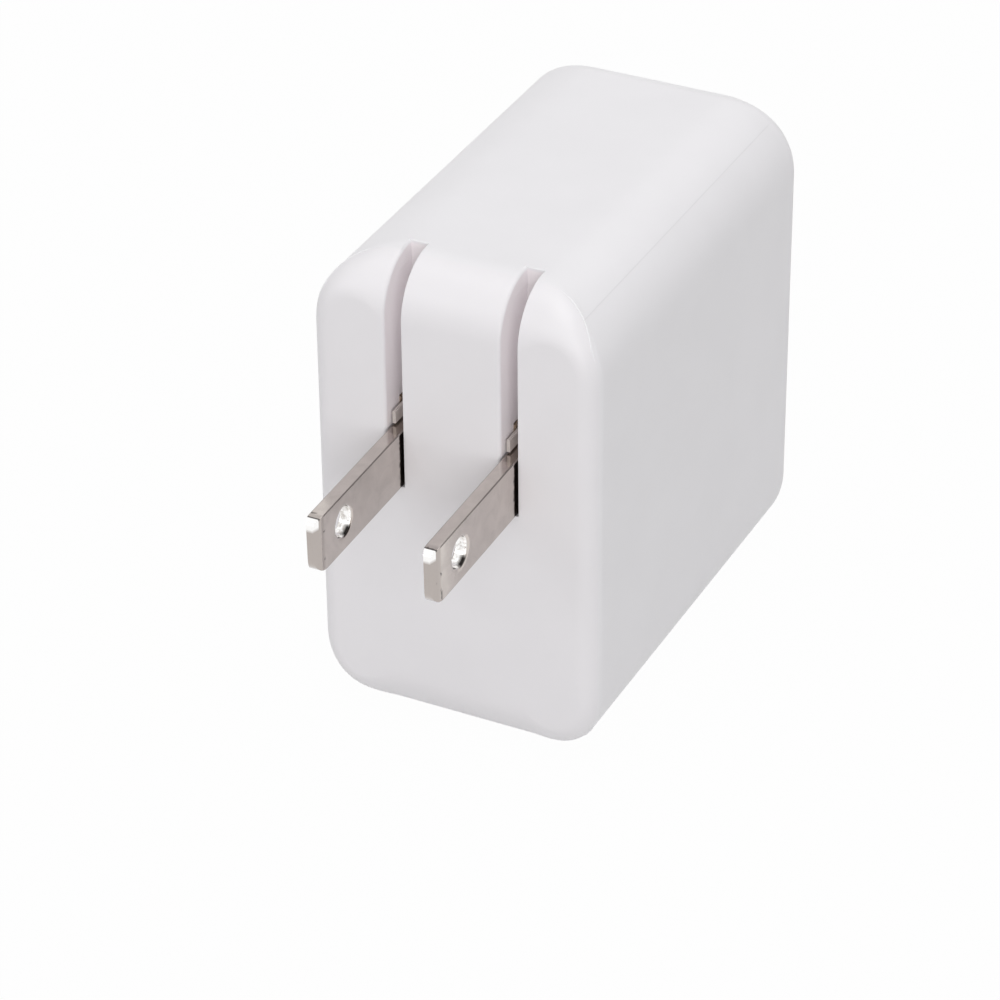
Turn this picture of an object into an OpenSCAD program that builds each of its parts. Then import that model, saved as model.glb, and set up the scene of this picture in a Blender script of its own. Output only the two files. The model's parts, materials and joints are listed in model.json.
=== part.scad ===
// Plug-in USB charger with two folding flat blades.
// Frame: X across the blades, -Y out of the blade face, +Z up, floor at Z = 0.
// The origin is under the middle of the box that holds the housing and the blades.

/* [Housing] */
// Width of the housing, across the two blades
body_w = 31.5; // [31:0.5:39]
// Depth of the housing, from the blade face to the port face
body_d = 51; // [50:1:64]
// Height of the housing
body_h = 53.8; // [52:0.2:66]
// Radius of the four long edges, which run from the blade face to the port face
corner_r = 8.3; // [7:0.1:9.5]
// Radius of the top and bottom edges of the blade face
front_r = 5.9; // [5:0.1:7]
// Radius of the top and bottom edges of the port face
back_r = 3.7; // [2.5:0.1:5]
// Radius of the upright edges of both end faces
side_r = 2.2; // [1.5:0.1:3]
// Radius of the blade face's edge half way round its corners
front_corner_r = 2.9; // [2.6:0.1:4]
// Radius of the port face's edge half way round its corners
back_corner_r = 2; // [1.8:0.1:3]
// Wall thickness of the main shell
wall = 2; // [1.8:0.1:2.4]

/* [Front cover] */
// Thickness of the front cover
cover_t = 1.2; // [1.2:0.05:1.5]
// How far the seam runs back over the top and the bottom
seam_back = 4.55; // [4:0.05:5.2]
// Angle through which the seam follows the edge radius
seam_turn = 40; // [30:1:45]
// Thickness of the lip that enters the main shell
lip_t = 1.2; // [1:0.1:1.5]
// Distance from the blade face to the end of the lip
lip_end = 8; // [7:0.1:9]
// Gap between the lip and the main shell
lip_gap = 0.1; // [0.05:0.01:0.2]

/* [Blades] */
// Distance between the two blades
blade_pitch = 12.7; // [12.2:0.1:13.2]
// Width of a blade
blade_w = 6.35; // [6.1:0.01:7.7]
// Thickness of a blade
blade_t = 1.5; // [1.4:0.01:1.6]
// How far a blade stands out of the blade face
blade_out = 17.9; // [15.9:0.1:18.3]
// Radius of the hole in a blade
hole_r = 1.59; // [1.5:0.01:2]
// Distance from the hole to the tip
hole_to_tip = 5.6; // [4.5:0.1:6.5]
// Width of the coined rim round the hole
rim_w = 0.5; // [0.2:0.05:0.6]
// Depth of the coined rim round the hole
rim_d = 0.2; // [0.1:0.05:0.3]
// Radius of the two corners of the tip
tip_r = 0.8; // [0.5:0.1:1.2]
// Depth of the bevel on each side of the tip
bevel_d = 0.4; // [0.3:0.05:0.5]
// Length of the bevel on each side of the tip
bevel_l = 1.2; // [0.8:0.1:1.8]
// Distance of the contact ear behind the blade face
ear_depth = 1; // [1:0.1:1.8]
// Height of the contact ear above the blade
ear_h = 1.6; // [1.5:0.1:2.8]
// Length of the contact ear
ear_l = 3.3; // [3.2:0.1:3.5]
// Thickness of the contact ear
ear_t = 0.4; // [0.3:0.05:0.6]
// Width of the relief slit under the contact ear
slit_w = 0.22; // [0.15:0.01:0.4]
// Angle by which the extended blades hang in the play of their slots
blade_droop = 1.3; // [0:0.1:1.6]

/* [Blade pivot] */
// Distance of the pivot behind the blade face
pivot_depth = 2.95; // [2.9:0.01:3.1]
// Height of the pivot above the floor
pivot_h = 32.3; // [31:0.1:33]
// Gap on each side of a blade in its slot
slot_side_gap = 0.2; // [0.1:0.01:0.25]
// Gap at the ends of a slot
slot_end_gap = 0.15; // [0.15:0.01:0.3]
// Thickness of the walls round each blade's pocket
pocket_t = 0.9; // [0.7:0.1:1.2]
// Radius of the barrel that carries both blades
barrel_r = 1.85; // [1.7:0.01:1.9]
// Radius of the journals at the ends of the barrel
journal_r = 1.1; // [1:0.05:1.2]
// Length of a journal
journal_l = 1.9; // [1.5:0.1:2]
// Radial clearance of a journal in its bearing
journal_gap = 0.05; // [0.02:0.01:0.08]
// Radius of the barrel's core where it passes through a blade
core_r = 1.2; // [1:0.05:1.4]
// Depth of the two detent flats on the barrel
flat_d = 0.25; // [0.15:0.05:0.35]

/* [Retainer] */
// Thickness of the retainer that closes the bearings
retainer_t = 1.8; // [1.5:0.1:2]
// Distance of the retainer's screws below the pivot
screw_drop = 6.7; // [6.4:0.1:7.5]
// Distance of the retainer's screws from the middle
screw_x = 7.6; // [7:0.1:8]
// Radius of the screws' thread
screw_r = 0.8; // [0.7:0.05:0.9]
// Radius of the screws' heads
screw_head_r = 1.8; // [1.6:0.1:2]
// Thickness of the detent spring
detent_t = 0.3; // [0.2:0.05:0.4]
// Width of the detent spring
detent_w = 5; // [4:0.5:6]
// Thickness of the contact springs
contact_t = 0.35; // [0.25:0.05:0.4]
// Width of the contact springs
contact_w = 1.8; // [1.5:0.1:2]

/* [Ports] */
// Height of the USB-C port above the floor
usb_c_h = 35.5; // [33:0.5:38]
// Height of the USB-A port above the floor
usb_a_h = 21.5; // [20:0.5:24]
// How far the ports sit in from the port face
port_inset = 0.4; // [0.2:0.1:0.8]
// Length of both port shells
port_l = 10.5; // [10:0.1:12.6]
// Gap round each port in the main shell
port_gap = 0.1; // [0.05:0.01:0.2]

/* [Boards] */
// Thickness of the circuit boards
board_t = 1.2; // [1:0.1:1.6]
// Gap between the main shell and the back of the main board
board_back_gap = 0.75; // [0.6:0.05:1]
// Distance from the blade face to the input board
input_board_y = 10; // [9.8:0.1:10.4]

/* [Hidden] */
$fn = 64;
eps = 0.02;
over = 1;

// Nominal sizes of the USB receptacles
usb_c = [8.94, 3.26];
usb_c_wall = 0.3;
usb_c_tongue_size = [6.69, 0.7];
usb_a = [13.14, 5.72];
usb_a_wall = 0.31;
usb_a_corner_r = 0.6;
usb_a_tongue_size = [11.1, 1.84];
usb_a_tongue_rise = 1.0;
port_base_l = 2.6;
tongue_recess = 1.2;
strip_start = 0.1;
usb_c_strip = [0.25, 0.06];
usb_c_pitch = 0.5;
usb_c_strip_l = 5.7;
usb_a_strip = [1, 0.12];
usb_a_pitch = 2.5;
usb_a_strip_l = 6.1;

// Places along the depth
tip_reach = tip_r + (pivot_depth + blade_out - tip_r) * cos(blade_droop)
    + (blade_w / 2 - tip_r) * sin(blade_droop) - pivot_depth;
face_y = (tip_reach - body_d) / 2;
back_y = face_y + body_d;
tip_y = face_y - blade_out;
back_wall_y = back_y - wall;
half_w = body_w / 2;
half_h = body_h / 2;
corner_turns = [-67.5, -45, -22.5, 22.5, 45, 67.5];
corner_skin = 0.05;
edge_skin = 0.3;

// Pivot and slots
pivot_y = face_y + pivot_depth;
pivot_z = pivot_h;
blade_x = blade_pitch / 2;
slot_w = blade_t + 2 * slot_side_gap;
slot_back = face_y + pivot_depth + blade_w / 2 + slot_end_gap;
slot_low = pivot_z - blade_w / 2 - slot_end_gap;
ear_front = face_y + ear_depth;
ear_neck = 0.8;
ear_back = ear_front + ear_l;
ear_top = pivot_z + blade_w / 2 + ear_h;
ear_sweep = norm([max(pivot_y - ear_front, ear_back - pivot_y), ear_top - pivot_z]);
sweep_gap = 0.3;

// Cavity of the main shell
cav_w = body_w - 2 * wall;
cav_h = body_h - 2 * wall;
cav_r = corner_r - wall;
board_edge_gap = 0.5;

// Retainer
bearing_gap = 0.1;
bearing_side = 0.1;
bearing_lip_gap = 0.35;
bearing_out = cav_w / 2 - lip_gap - lip_t - bearing_lip_gap;
journal_end = bearing_out - bearing_side;
barrel_end = journal_end - journal_l;
bearing_in = barrel_end + bearing_side;
bearing_h = 2.4;
bar_gap = 0.4;
bar_below_screws = 2.4;
bar_below_blades = 1;
bar_front = pivot_y + barrel_r + bar_gap;
bar_back = bar_front + retainer_t;
bar_low = pivot_z - screw_drop - bar_below_screws;
bar_high = pivot_z - blade_w / 2 - bar_below_blades;
boss_r = 1.9;
screw_head_h = 1.2;
screw_len = 4.6;
screw_hole_gap = 0.15;
drive_w = 0.4;
drive_d = 0.6;
drive_half_l = 1.1;
detent_gap = 0.05;
detent_front = pivot_y + barrel_r + detent_gap;
detent_high = pivot_z + barrel_r + 0.4;
detent_margin = 0.5;
detent_foot_low = bar_low + 0.4;
detent_foot_high = bar_high - 1;
detent_side_gap = 0.1;
detent_room = 0.7;
detent_wall = 0.6;
detent_cap = 0.4;
stake_r = 0.7;
stake_head = 0.3;
stake_z = (detent_foot_low + detent_foot_high) / 2;

// Contact springs
contact_gap = 0.05;
contact_rise = 0.1;
contact_foot = 2.6;

// Boards and what stands on them
main_x = -half_w + wall + board_back_gap;
main_top_x = main_x + board_t;
main_edge = board_edge(main_x);
input_y = face_y + input_board_y;
input_back_y = input_y + board_t;
port_tip_y = back_y - port_inset;
port_board_back = port_tip_y - port_l;
port_board_y = port_board_back - board_t;
board_gap = 0.3;
part_gap = 0.6;
lead_gap = 0.05;
bay_front = input_back_y + part_gap;
bay_back = port_board_y - part_gap;
bay_d = bay_back - bay_front;
board_side_gap = 1.4;
board_r = half_w - wall - board_side_gap;
rail_bite = 0.8;
rail_gap = 0.2;
rail_t = 0.9;
groove_gap = 0.05;
inner_edge = [main_edge[0] + rail_bite + rail_gap, main_edge[1] - rail_bite - rail_gap];

// Transformer
core_y = 20;
core_z = 13;
core_plate = 3;
core_leg = 3;
core_half_h = 9.2;
post_r = 4;
bobbin_t = 0.7;
bobbin_gap = 0.15;
trafo_base_h = 1.2;
trafo_edge_gap = 5;
foot_half_w = 5;
foot_t = 2;
web_half_w = 2;
web_bite = 0.5;
web_overlap = 1;
trafo_y = bay_back - core_y / 2;
before_trafo = bay_d - core_y - part_gap;
trafo_z = main_edge[1] - trafo_edge_gap - core_z / 2;
trafo_x = main_top_x + trafo_base_h;
trafo_top = trafo_x + 2 * core_half_h;

// Capacitors, choke and small parts
bulk_r = min(6.2, (bay_d - part_gap) / 4);
bulk_l = 22;
bulk_edge_gap = 1;
bulk_groove_r = 0.4;
bulk_groove_h = 2.4;
bulk_z = main_edge[0] + bulk_r + bulk_edge_gap;
bulk_y = [bay_front + bulk_r, bay_back - bulk_r];
x_cap = [12.5, min(5.8, before_trafo), 13];
choke_r = 5.2;
choke_hole_r = 2.6;
choke_wire = 0.7;
choke_t = min(4, before_trafo - 2 * choke_wire);
choke_wire_gap = 0.05;
choke_span = 140;
choke_z = bulk_z + bulk_r + part_gap + choke_r + choke_wire;
choke_y = bay_front + choke_t / 2 + choke_wire;
choke_x = main_top_x + lead_gap + choke_r + choke_wire;
x_cap_low = choke_z + choke_r + choke_wire + part_gap;
input_edge_gap = 1;
fuse_r = 3.8;
fuse_l = 6;
varistor_r = 3.8;
varistor_t = 3.4;
bridge = [2.6, 8.5, 7.6];
switch_ic = [0.9, 6, 6];
opto = [2, 4.4, 3.7];
y_cap = [6.5, 4.6, 2.6];
sync_ic = [1, 5, 5];
sync_from_board = 1.5;
switch_gap = [1, 0.5];
mid_z = bulk_z + bulk_r + part_gap;
output_cap_r = 3.9;
output_cap_l = 7.6;
output_cap_x = 5.2;
output_cap_edge_gap = 1.4;
output_cap_z = main_edge[0] + output_cap_r + output_cap_edge_gap;
inductor = [6.6, 3.4, 6.6];
inductor_x = 0.5;
port_ic = [5, 0.9, 5];
port_ic_x = 1.5;
above_port = 3;
port_top_z = usb_c_h + usb_c[1] / 2 + above_port;

// Heat spreader, thermal pad and insulation
spreader_t = 0.6;
spreader_gap = 0.4;
spreader_x = half_w - wall - spreader_gap - spreader_t;
sheet_t = 0.25;
sheet_gap = 0.2;

// Lowest and highest point of an upright board at a given X inside the rounded cavity
function board_edge(x) =
    let (dx = max(0, abs(x) - (cav_w / 2 - cav_r)),
        rise = cav_r - sqrt(cav_r * cav_r - dx * dx) + board_edge_gap)
    [wall + rise, body_h - wall - rise];

// ---------- shapes ----------

// Rounded rectangle from corner p to corner q, with radii r = [low left, low right, high right, high left]
module rounded_rect(p, q, r) {
    polygon([
        [p[0] + r[0], p[1]], [q[0] - r[1], p[1]], [q[0], p[1] + r[1]], [q[0], q[1] - r[2]],
        [q[0] - r[2], q[1]], [p[0] + r[3], q[1]], [p[0], q[1] - r[3]], [p[0], p[1] + r[0]]
    ]);
    translate([p[0] + r[0], p[1] + r[0]]) circle(r = r[0]);
    translate([q[0] - r[1], p[1] + r[1]]) circle(r = r[1]);
    translate([q[0] - r[2], q[1] - r[2]]) circle(r = r[2]);
    translate([p[0] + r[3], q[1] - r[3]]) circle(r = r[3]);
}

// Rounded rectangle centred on the origin
module centred_rect(w, h, r) {
    rounded_rect([-w / 2, -h / 2], [w / 2, h / 2], [r, r, r, r]);
}

// Extrudes an (x, z) outline along Y, from y0 to y1
module along_y(y0, y1) {
    translate([0, y1, 0]) rotate([90, 0, 0]) linear_extrude(height = y1 - y0) children();
}

// Extrudes a (y, z) outline along X, from x0 to x1
module along_x(x0, x1) {
    translate([x0, 0, 0]) rotate([90, 0, 90]) linear_extrude(height = x1 - x0) children();
}

// Box from corner p to corner q
module box(p, q) {
    translate(p) cube(q - p);
}

// Box from corner p to corner q on the +X side, or its mirror image for s = -1
module side_box(s, p, q) {
    low = s > 0 ? p[0] : -q[0];
    box([low, p[1], p[2]], [low + q[0] - p[0], q[1], q[2]]);
}

// Rod along X, from x0 to x1, on the axis (y, z)
module rod_x(x0, x1, y, z, r) {
    translate([x0, y, z]) rotate([0, 90, 0]) cylinder(r = r, h = x1 - x0);
}

// Rod along Y, from y0 to y1, on the axis (x, z)
module rod_y(y0, y1, x, z, r) {
    translate([x, y0, z]) rotate([-90, 0, 0]) cylinder(r = r, h = y1 - y0);
}

// ---------- housing ----------

// Edge radius at a share t of the way round a corner, from the upright edge to the level edge
function edge_r(side, mid, level, t) =
    side * (1 - t) * (1 - t) + (4 * mid - side - level) * t * (1 - t) + level * t * t;

// Prism turned about the depth axis, which rounds the ends of the long edges in that direction
module corner_prism(turn) {
    t = abs(turn) / 90;
    front = edge_r(side_r, front_corner_r, front_r, t);
    back = edge_r(side_r, back_corner_r, back_r, t);
    reach = (half_w - corner_r) * cos(turn) + (half_h - corner_r) * abs(sin(turn)) + corner_r;
    translate([0, 0, half_h]) rotate([0, turn, 0])
        linear_extrude(height = 2 * body_h, center = true)
            rounded_rect([-reach - corner_skin, face_y - eps], [reach + corner_skin, back_y + eps],
                [front, front, back, back]);
}

// Closed outer form of the whole housing
module outer_form() {
    intersection() {
        along_y(face_y, back_y)
            translate([0, half_h]) centred_rect(body_w, body_h, corner_r);
        along_x(-body_w, body_w)
            rounded_rect([face_y, 0], [back_y, body_h], [front_r, back_r, back_r, front_r]);
        translate([0, 0, -over]) linear_extrude(height = body_h + 2 * over)
            rounded_rect([-half_w, face_y], [half_w, back_y], [side_r, side_r, side_r, side_r]);
        intersection_for(turn = corner_turns) corner_prism(turn);
    }
}

// Everything behind the seam, as a (y, z) outline
module behind_seam() {
    seam_r = front_r - cover_t;
    turn_y = face_y + front_r - seam_r * cos(seam_turn);
    turn_d = front_r - seam_r * sin(seam_turn);
    lean = (seam_back - (turn_y - face_y)) / turn_d;
    out_y = face_y + seam_back + lean * over;
    far = back_y + over;
    polygon([
        [face_y + cover_t, front_r], [turn_y, turn_d], [out_y, -over], [far, -over],
        [far, body_h + over], [out_y, body_h + over], [turn_y, body_h - turn_d],
        [face_y + cover_t, body_h - front_r]
    ]);
    for (z = [front_r, body_h - front_r])
        translate([face_y + front_r, z]) circle(r = seam_r);
}

// Outline of the cavity, drawn in by a gap
module cavity_outline(gap) {
    translate([0, half_h]) centred_rect(cav_w - 2 * gap, cav_h - 2 * gap, cav_r - gap);
}

// Keeps what stands on the back of the cover inside the front radius, in (y, z)
module under_front_edge() {
    r = front_r - edge_skin;
    rounded_rect([face_y + edge_skin, edge_skin], [face_y + lip_end + over, body_h - edge_skin],
        [r, eps, eps, r]);
}

// The two slots that the blades turn through
module blade_slots() {
    for (x = [-blade_x, blade_x])
        box([x - slot_w / 2, face_y - over, slot_low], [x + slot_w / 2, slot_back, body_h + over]);
}

// Rails that hold the edges of the main board
module board_rails() {
    for (side = [0, 1]) {
        edge = main_edge[side];
        inner = side == 0 ? edge + rail_bite : edge - rail_bite;
        outer = side == 0 ? 0 : body_h;
        difference() {
            box([-half_w, face_y + lip_end + over, min(inner, outer)],
                [main_top_x + rail_t, back_y - wall / 2, max(inner, outer)]);
            box([main_x - groove_gap, face_y, min(inner, edge) - over],
                [main_top_x + groove_gap, back_wall_y, max(inner, edge) + over * (side == 0 ? 1 : 0)]);
        }
    }
}

module main_shell() {
    color("whitesmoke") difference() {
        intersection() {
            outer_form();
            along_x(-body_w, body_w) behind_seam();
            union() {
                difference() {
                    box([-body_w, face_y - over, -over], [body_w, back_y + over, body_h + over]);
                    along_y(face_y - 2 * over, back_wall_y) cavity_outline(0);
                }
                board_rails();
            }
        }
        blade_slots();
        along_y(back_wall_y - over, back_y + over) translate([0, usb_c_h])
            centred_rect(usb_c[0] + 2 * port_gap, usb_c[1] + 2 * port_gap, usb_c[1] / 2 + port_gap - eps);
        along_y(back_wall_y - over, back_y + over) translate([0, usb_a_h])
            centred_rect(usb_a[0] + 2 * port_gap, usb_a[1] + 2 * port_gap, usb_a_corner_r);
    }
}

// Walls of the pocket that each blade folds into
module pocket_walls() {
    top = body_h - wall - lip_gap;
    for (x = [-blade_x, blade_x]) {
        outer_w = slot_w / 2 + pocket_t;
        difference() {
            box([x - outer_w, face_y + cover_t - eps, pivot_z + barrel_r + sweep_gap],
                [x + outer_w, slot_back + pocket_t, top]);
            rod_x(x - slot_w / 2, x + slot_w / 2, pivot_y, pivot_z, ear_sweep + sweep_gap);
            box([x - outer_w - over, pivot_y, pivot_z], [x, slot_back + 2 * pocket_t,
                pivot_z + ear_sweep + sweep_gap]);
        }
    }
}

// Bearing blocks and screw bosses on the back of the cover
module cover_bearings() {
    for (s = [-1, 1]) {
        side_box(s, [bearing_in, face_y + cover_t - eps, pivot_z - bearing_h],
            [bearing_out, pivot_y, pivot_z + bearing_h]);
        rod_y(face_y + cover_t - eps, bar_front, s * screw_x, pivot_z - screw_drop, boss_r);
    }
}

module front_cover() {
    color("white") difference() {
        union() {
            difference() {
                outer_form();
                along_x(-body_w, body_w) behind_seam();
            }
            intersection() {
                union() {
                    difference() {
                        along_y(face_y + cover_t - eps, face_y + lip_end) cavity_outline(lip_gap);
                        along_y(face_y, face_y + lip_end + over) cavity_outline(lip_gap + lip_t);
                    }
                    pocket_walls();
                }
                along_x(-half_w, half_w) under_front_edge();
            }
            cover_bearings();
        }
        blade_slots();
        rod_x(-bearing_in, bearing_in, pivot_y, pivot_z, barrel_r + bearing_gap);
        rod_x(-journal_end - over, journal_end + over, pivot_y, pivot_z, journal_r + journal_gap);
        for (s = [-1, 1])
            rod_y(face_y + cover_t, bar_front + over, s * screw_x, pivot_z - screw_drop, screw_r);
    }
}

// ---------- folding blades ----------

// Side view of one blade, in (y, z)
module blade_outline() {
    low = pivot_z - blade_w / 2;
    high = pivot_z + blade_w / 2;
    difference() {
        union() {
            rounded_rect([tip_y, low], [pivot_y, high], [tip_r, eps, eps, tip_r]);
            translate([pivot_y, pivot_z]) circle(r = blade_w / 2);
        }
        translate([pivot_y, pivot_z]) circle(r = core_r + eps);
    }
}

// Side view of the contact ear, with its relief slit, in (y, z)
module ear_outline() {
    low = pivot_z + barrel_r;
    difference() {
        translate([ear_front, low]) square([ear_l, ear_top - low]);
        translate([ear_front - over, pivot_z + blade_w / 2])
            square([over + ear_l - ear_neck, slit_w]);
    }
}

// One bevelled side of the tip, as a wedge that is cut away
module tip_wedge(s) {
    translate([0, 0, pivot_z - blade_w]) linear_extrude(height = 2 * blade_w)
        polygon([
            [s * (blade_t / 2 - bevel_d), tip_y - eps], [s * blade_t, tip_y - eps],
            [s * blade_t, tip_y + bevel_l], [s * blade_t / 2, tip_y + bevel_l]
        ]);
}

// One blade, centred on X = 0
module blade() {
    hole_y = tip_y + hole_to_tip;
    rim_r = hole_r + rim_w;
    rim_slope = rim_w / rim_d;
    difference() {
        union() {
            along_x(-blade_t / 2, blade_t / 2) blade_outline();
            along_x(-blade_t / 2, ear_t - blade_t / 2) ear_outline();
        }
        rod_x(-blade_t, blade_t, hole_y, pivot_z, hole_r);
        for (turn = [90, -90])
            translate([0, hole_y, pivot_z]) rotate([0, turn, 0])
                translate([0, 0, blade_t / 2 - rim_d])
                    cylinder(r1 = hole_r, r2 = rim_r + rim_slope * over, h = rim_d + over);
        tip_wedge(1);
        tip_wedge(-1);
    }
}

// Turns the blades and their barrel from level to where they hang
module hanging() {
    translate([0, pivot_y, pivot_z]) rotate([blade_droop, 0, 0])
        translate([0, -pivot_y, -pivot_z]) children();
}

module left_blade() {
    color("silver") hanging() translate([-blade_x, 0, 0]) blade();
}

module right_blade() {
    color("silver") hanging() translate([blade_x, 0, 0]) blade();
}

module blade_holder() {
    flat_at = barrel_r - flat_d;
    inner = blade_x - blade_t / 2 - eps;
    outer = blade_x + blade_t / 2 + eps;
    flat_half_l = detent_w / 2 + detent_margin;
    reach = barrel_r + over;
    color("dimgray") hanging() {
        difference() {
            rod_x(-inner, inner, pivot_y, pivot_z, barrel_r);
            box([-flat_half_l, pivot_y + flat_at, pivot_z - reach],
                [flat_half_l, pivot_y + reach, pivot_z + reach]);
            box([-flat_half_l, pivot_y - reach, pivot_z + flat_at],
                [flat_half_l, pivot_y + reach, pivot_z + reach]);
        }
        rod_x(outer, barrel_end, pivot_y, pivot_z, barrel_r);
        rod_x(-barrel_end, -outer, pivot_y, pivot_z, barrel_r);
        rod_x(-barrel_end, barrel_end, pivot_y, pivot_z, core_r);
        rod_x(-journal_end, journal_end, pivot_y, pivot_z, journal_r);
    }
}

module blade_retainer() {
    room_half_w = detent_w / 2 + detent_side_gap;
    back_half_w = detent_w / 2 + detent_wall;
    color("gainsboro") difference() {
        union() {
            box([-bearing_out, bar_front, bar_low], [bearing_out, bar_back, bar_high]);
            for (s = [-1, 1]) {
                side_box(s, [bearing_in, pivot_y + bearing_gap, pivot_z - bearing_h],
                    [bearing_out, bar_back, pivot_z + bearing_h]);
                side_box(s, [bearing_in, bar_front, bar_low], [bearing_out, bar_back, pivot_z]);
            }
            box([-back_half_w, bar_front + detent_room, bar_low],
                [back_half_w, bar_back + detent_cap, detent_high + detent_cap]);
        }
        box([-room_half_w, bar_front - over, detent_foot_low - detent_side_gap],
            [room_half_w, detent_front + detent_t + eps, bar_high + over]);
        box([-room_half_w, bar_front - over, detent_foot_high],
            [room_half_w, bar_front + detent_room, detent_high + over]);
        rod_x(-journal_end - over, journal_end + over, pivot_y, pivot_z, journal_r + journal_gap);
        for (s = [-1, 1])
            rod_y(bar_front - over, bar_back + over, s * screw_x, pivot_z - screw_drop,
                screw_r + screw_hole_gap);
    }
    color("gainsboro")
        rod_y(detent_front - stake_head, bar_front + retainer_t / 2, 0, stake_z, stake_r);
}

module retainer_screws() {
    for (s = [-1, 1])
        color("silver") translate([s * screw_x, 0, pivot_z - screw_drop]) difference() {
            union() {
                rod_y(bar_back, bar_back + screw_head_h, 0, 0, screw_head_r);
                rod_y(bar_back - screw_len, bar_back + eps, 0, 0, screw_r - eps);
            }
            for (turn = [0, 90])
                rotate([0, turn, 0])
                    box([-drive_half_l, bar_back + screw_head_h - drive_d, -drive_w / 2],
                        [drive_half_l, bar_back + screw_head_h + over, drive_w / 2]);
        }
}

module detent_spring() {
    color("lightsteelblue") difference() {
        box([-detent_w / 2, detent_front, detent_foot_low],
            [detent_w / 2, detent_front + detent_t, detent_high]);
        rod_y(detent_front - over, detent_front + over, 0, stake_z, stake_r + eps);
    }
}

// Leaf that wipes the -X side of a blade's ear, and its foot on the input board
module contact_spring(x) {
    x1 = x - blade_t / 2 - contact_gap;
    low = pivot_z + blade_w / 2 + slit_w + contact_rise;
    color("goldenrod") {
        box([x1 - contact_t, pivot_y, low], [x1, input_y, low + contact_w]);
        box([x1 - contact_foot, input_y - contact_t, low], [x1, input_y, low + contact_w]);
    }
}

module left_contact_spring() {
    contact_spring(-blade_x);
}

module right_contact_spring() {
    contact_spring(blade_x);
}

// ---------- circuit boards ----------

module input_board() {
    color("darkgreen") box([main_top_x, input_y, mid_z], [board_r, input_back_y, inner_edge[1]]);
}

module main_board() {
    color("darkgreen") box([main_x, input_y, main_edge[0]],
        [main_top_x, back_wall_y - board_gap, main_edge[1]]);
}

module port_board() {
    color("darkgreen") box([main_top_x, port_board_y, inner_edge[0]],
        [board_r, port_board_back, inner_edge[1]]);
}

// ---------- ports ----------

// Tube of a receptacle, open at the port face
module port_tube(size, t, r) {
    difference() {
        along_y(port_board_back, port_tip_y) centred_rect(size[0], size[1], r);
        along_y(port_board_back - over, port_tip_y + over)
            centred_rect(size[0] - 2 * t, size[1] - 2 * t, r - t);
    }
}

// Insulating base and tongue inside a receptacle
module port_tongue(size, t, r, tongue, rise) {
    gap = eps;
    along_y(port_board_back, port_board_back + port_base_l)
        centred_rect(size[0] - 2 * t - 2 * gap, size[1] - 2 * t - 2 * gap, r - t - gap);
    along_y(port_board_back, port_tip_y - tongue_recess)
        translate([0, rise]) square([tongue[0], tongue[1]], center = true);
}

// Row of contact strips that lie on one face of a tongue
module contact_row(count, pitch, strip, z, l) {
    y = port_board_back + port_base_l + strip_start;
    for (i = [0 : count - 1])
        translate([(i - (count - 1) / 2) * pitch - strip[0] / 2, y, z])
            cube([strip[0], l, strip[1]]);
}

module usb_c_shell() {
    color("silver") translate([0, 0, usb_c_h]) port_tube(usb_c, usb_c_wall, usb_c[1] / 2 - eps);
}

module usb_c_tongue() {
    color("black") translate([0, 0, usb_c_h])
        port_tongue(usb_c, usb_c_wall, usb_c[1] / 2 - eps, usb_c_tongue_size, 0);
}

module usb_c_contacts() {
    half_t = usb_c_tongue_size[1] / 2;
    color("gold") translate([0, 0, usb_c_h])
        for (z = [half_t, -half_t - usb_c_strip[1]])
            contact_row(12, usb_c_pitch, usb_c_strip, z, usb_c_strip_l);
}

module usb_a_shell() {
    color("silver") translate([0, 0, usb_a_h]) port_tube(usb_a, usb_a_wall, usb_a_corner_r);
}

module usb_a_tongue() {
    color("white") translate([0, 0, usb_a_h])
        port_tongue(usb_a, usb_a_wall, usb_a_corner_r, usb_a_tongue_size, usb_a_tongue_rise);
}

module usb_a_contacts() {
    low = usb_a_tongue_rise - usb_a_tongue_size[1] / 2 - usb_a_strip[1];
    color("gold") translate([0, 0, usb_a_h])
        contact_row(4, usb_a_pitch, usb_a_strip, low, usb_a_strip_l);
}

// ---------- transformer ----------

// Half of the core: plate, two outer legs and a round post, growing along +X from x = 0
module core_half() {
    gap = eps;
    box([0, -core_y / 2, -core_z / 2], [core_plate, core_y / 2, core_z / 2]);
    for (y = [-core_y / 2, core_y / 2 - core_leg])
        box([0, y, -core_z / 2], [core_half_h - gap, y + core_leg, core_z / 2]);
    rod_x(0, core_half_h - gap, 0, 0, post_r);
}

module transformer_core_lower() {
    color("darkslategray") translate([trafo_x, trafo_y, trafo_z]) core_half();
}

module transformer_core_upper() {
    color("darkslategray") translate([trafo_top, trafo_y, trafo_z]) mirror([1, 0, 0]) core_half();
}

module transformer_bobbin() {
    tube_r = post_r + bobbin_gap + bobbin_t;
    flange_r = core_y / 2 - core_leg - bobbin_gap;
    low = trafo_x + core_plate + bobbin_gap;
    high = trafo_top - core_plate - bobbin_gap;
    foot_z = core_z / 2 + bobbin_gap;
    color("black") {
        difference() {
            union() {
                rod_x(low, high, trafo_y, trafo_z, tube_r);
                rod_x(low, low + bobbin_t, trafo_y, trafo_z, flange_r);
                rod_x(high - bobbin_t, high, trafo_y, trafo_z, flange_r);
            }
            rod_x(low - over, high + over, trafo_y, trafo_z, post_r + bobbin_gap);
        }
        for (turn = [0, 180])
            translate([0, trafo_y, trafo_z]) rotate([turn, 0, 0]) {
                box([main_top_x, -foot_half_w, foot_z], [low + bobbin_t, foot_half_w, foot_z + foot_t]);
                box([low, -web_half_w, flange_r - web_overlap],
                    [low + bobbin_t, web_half_w, foot_z + web_bite]);
            }
    }
}

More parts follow.
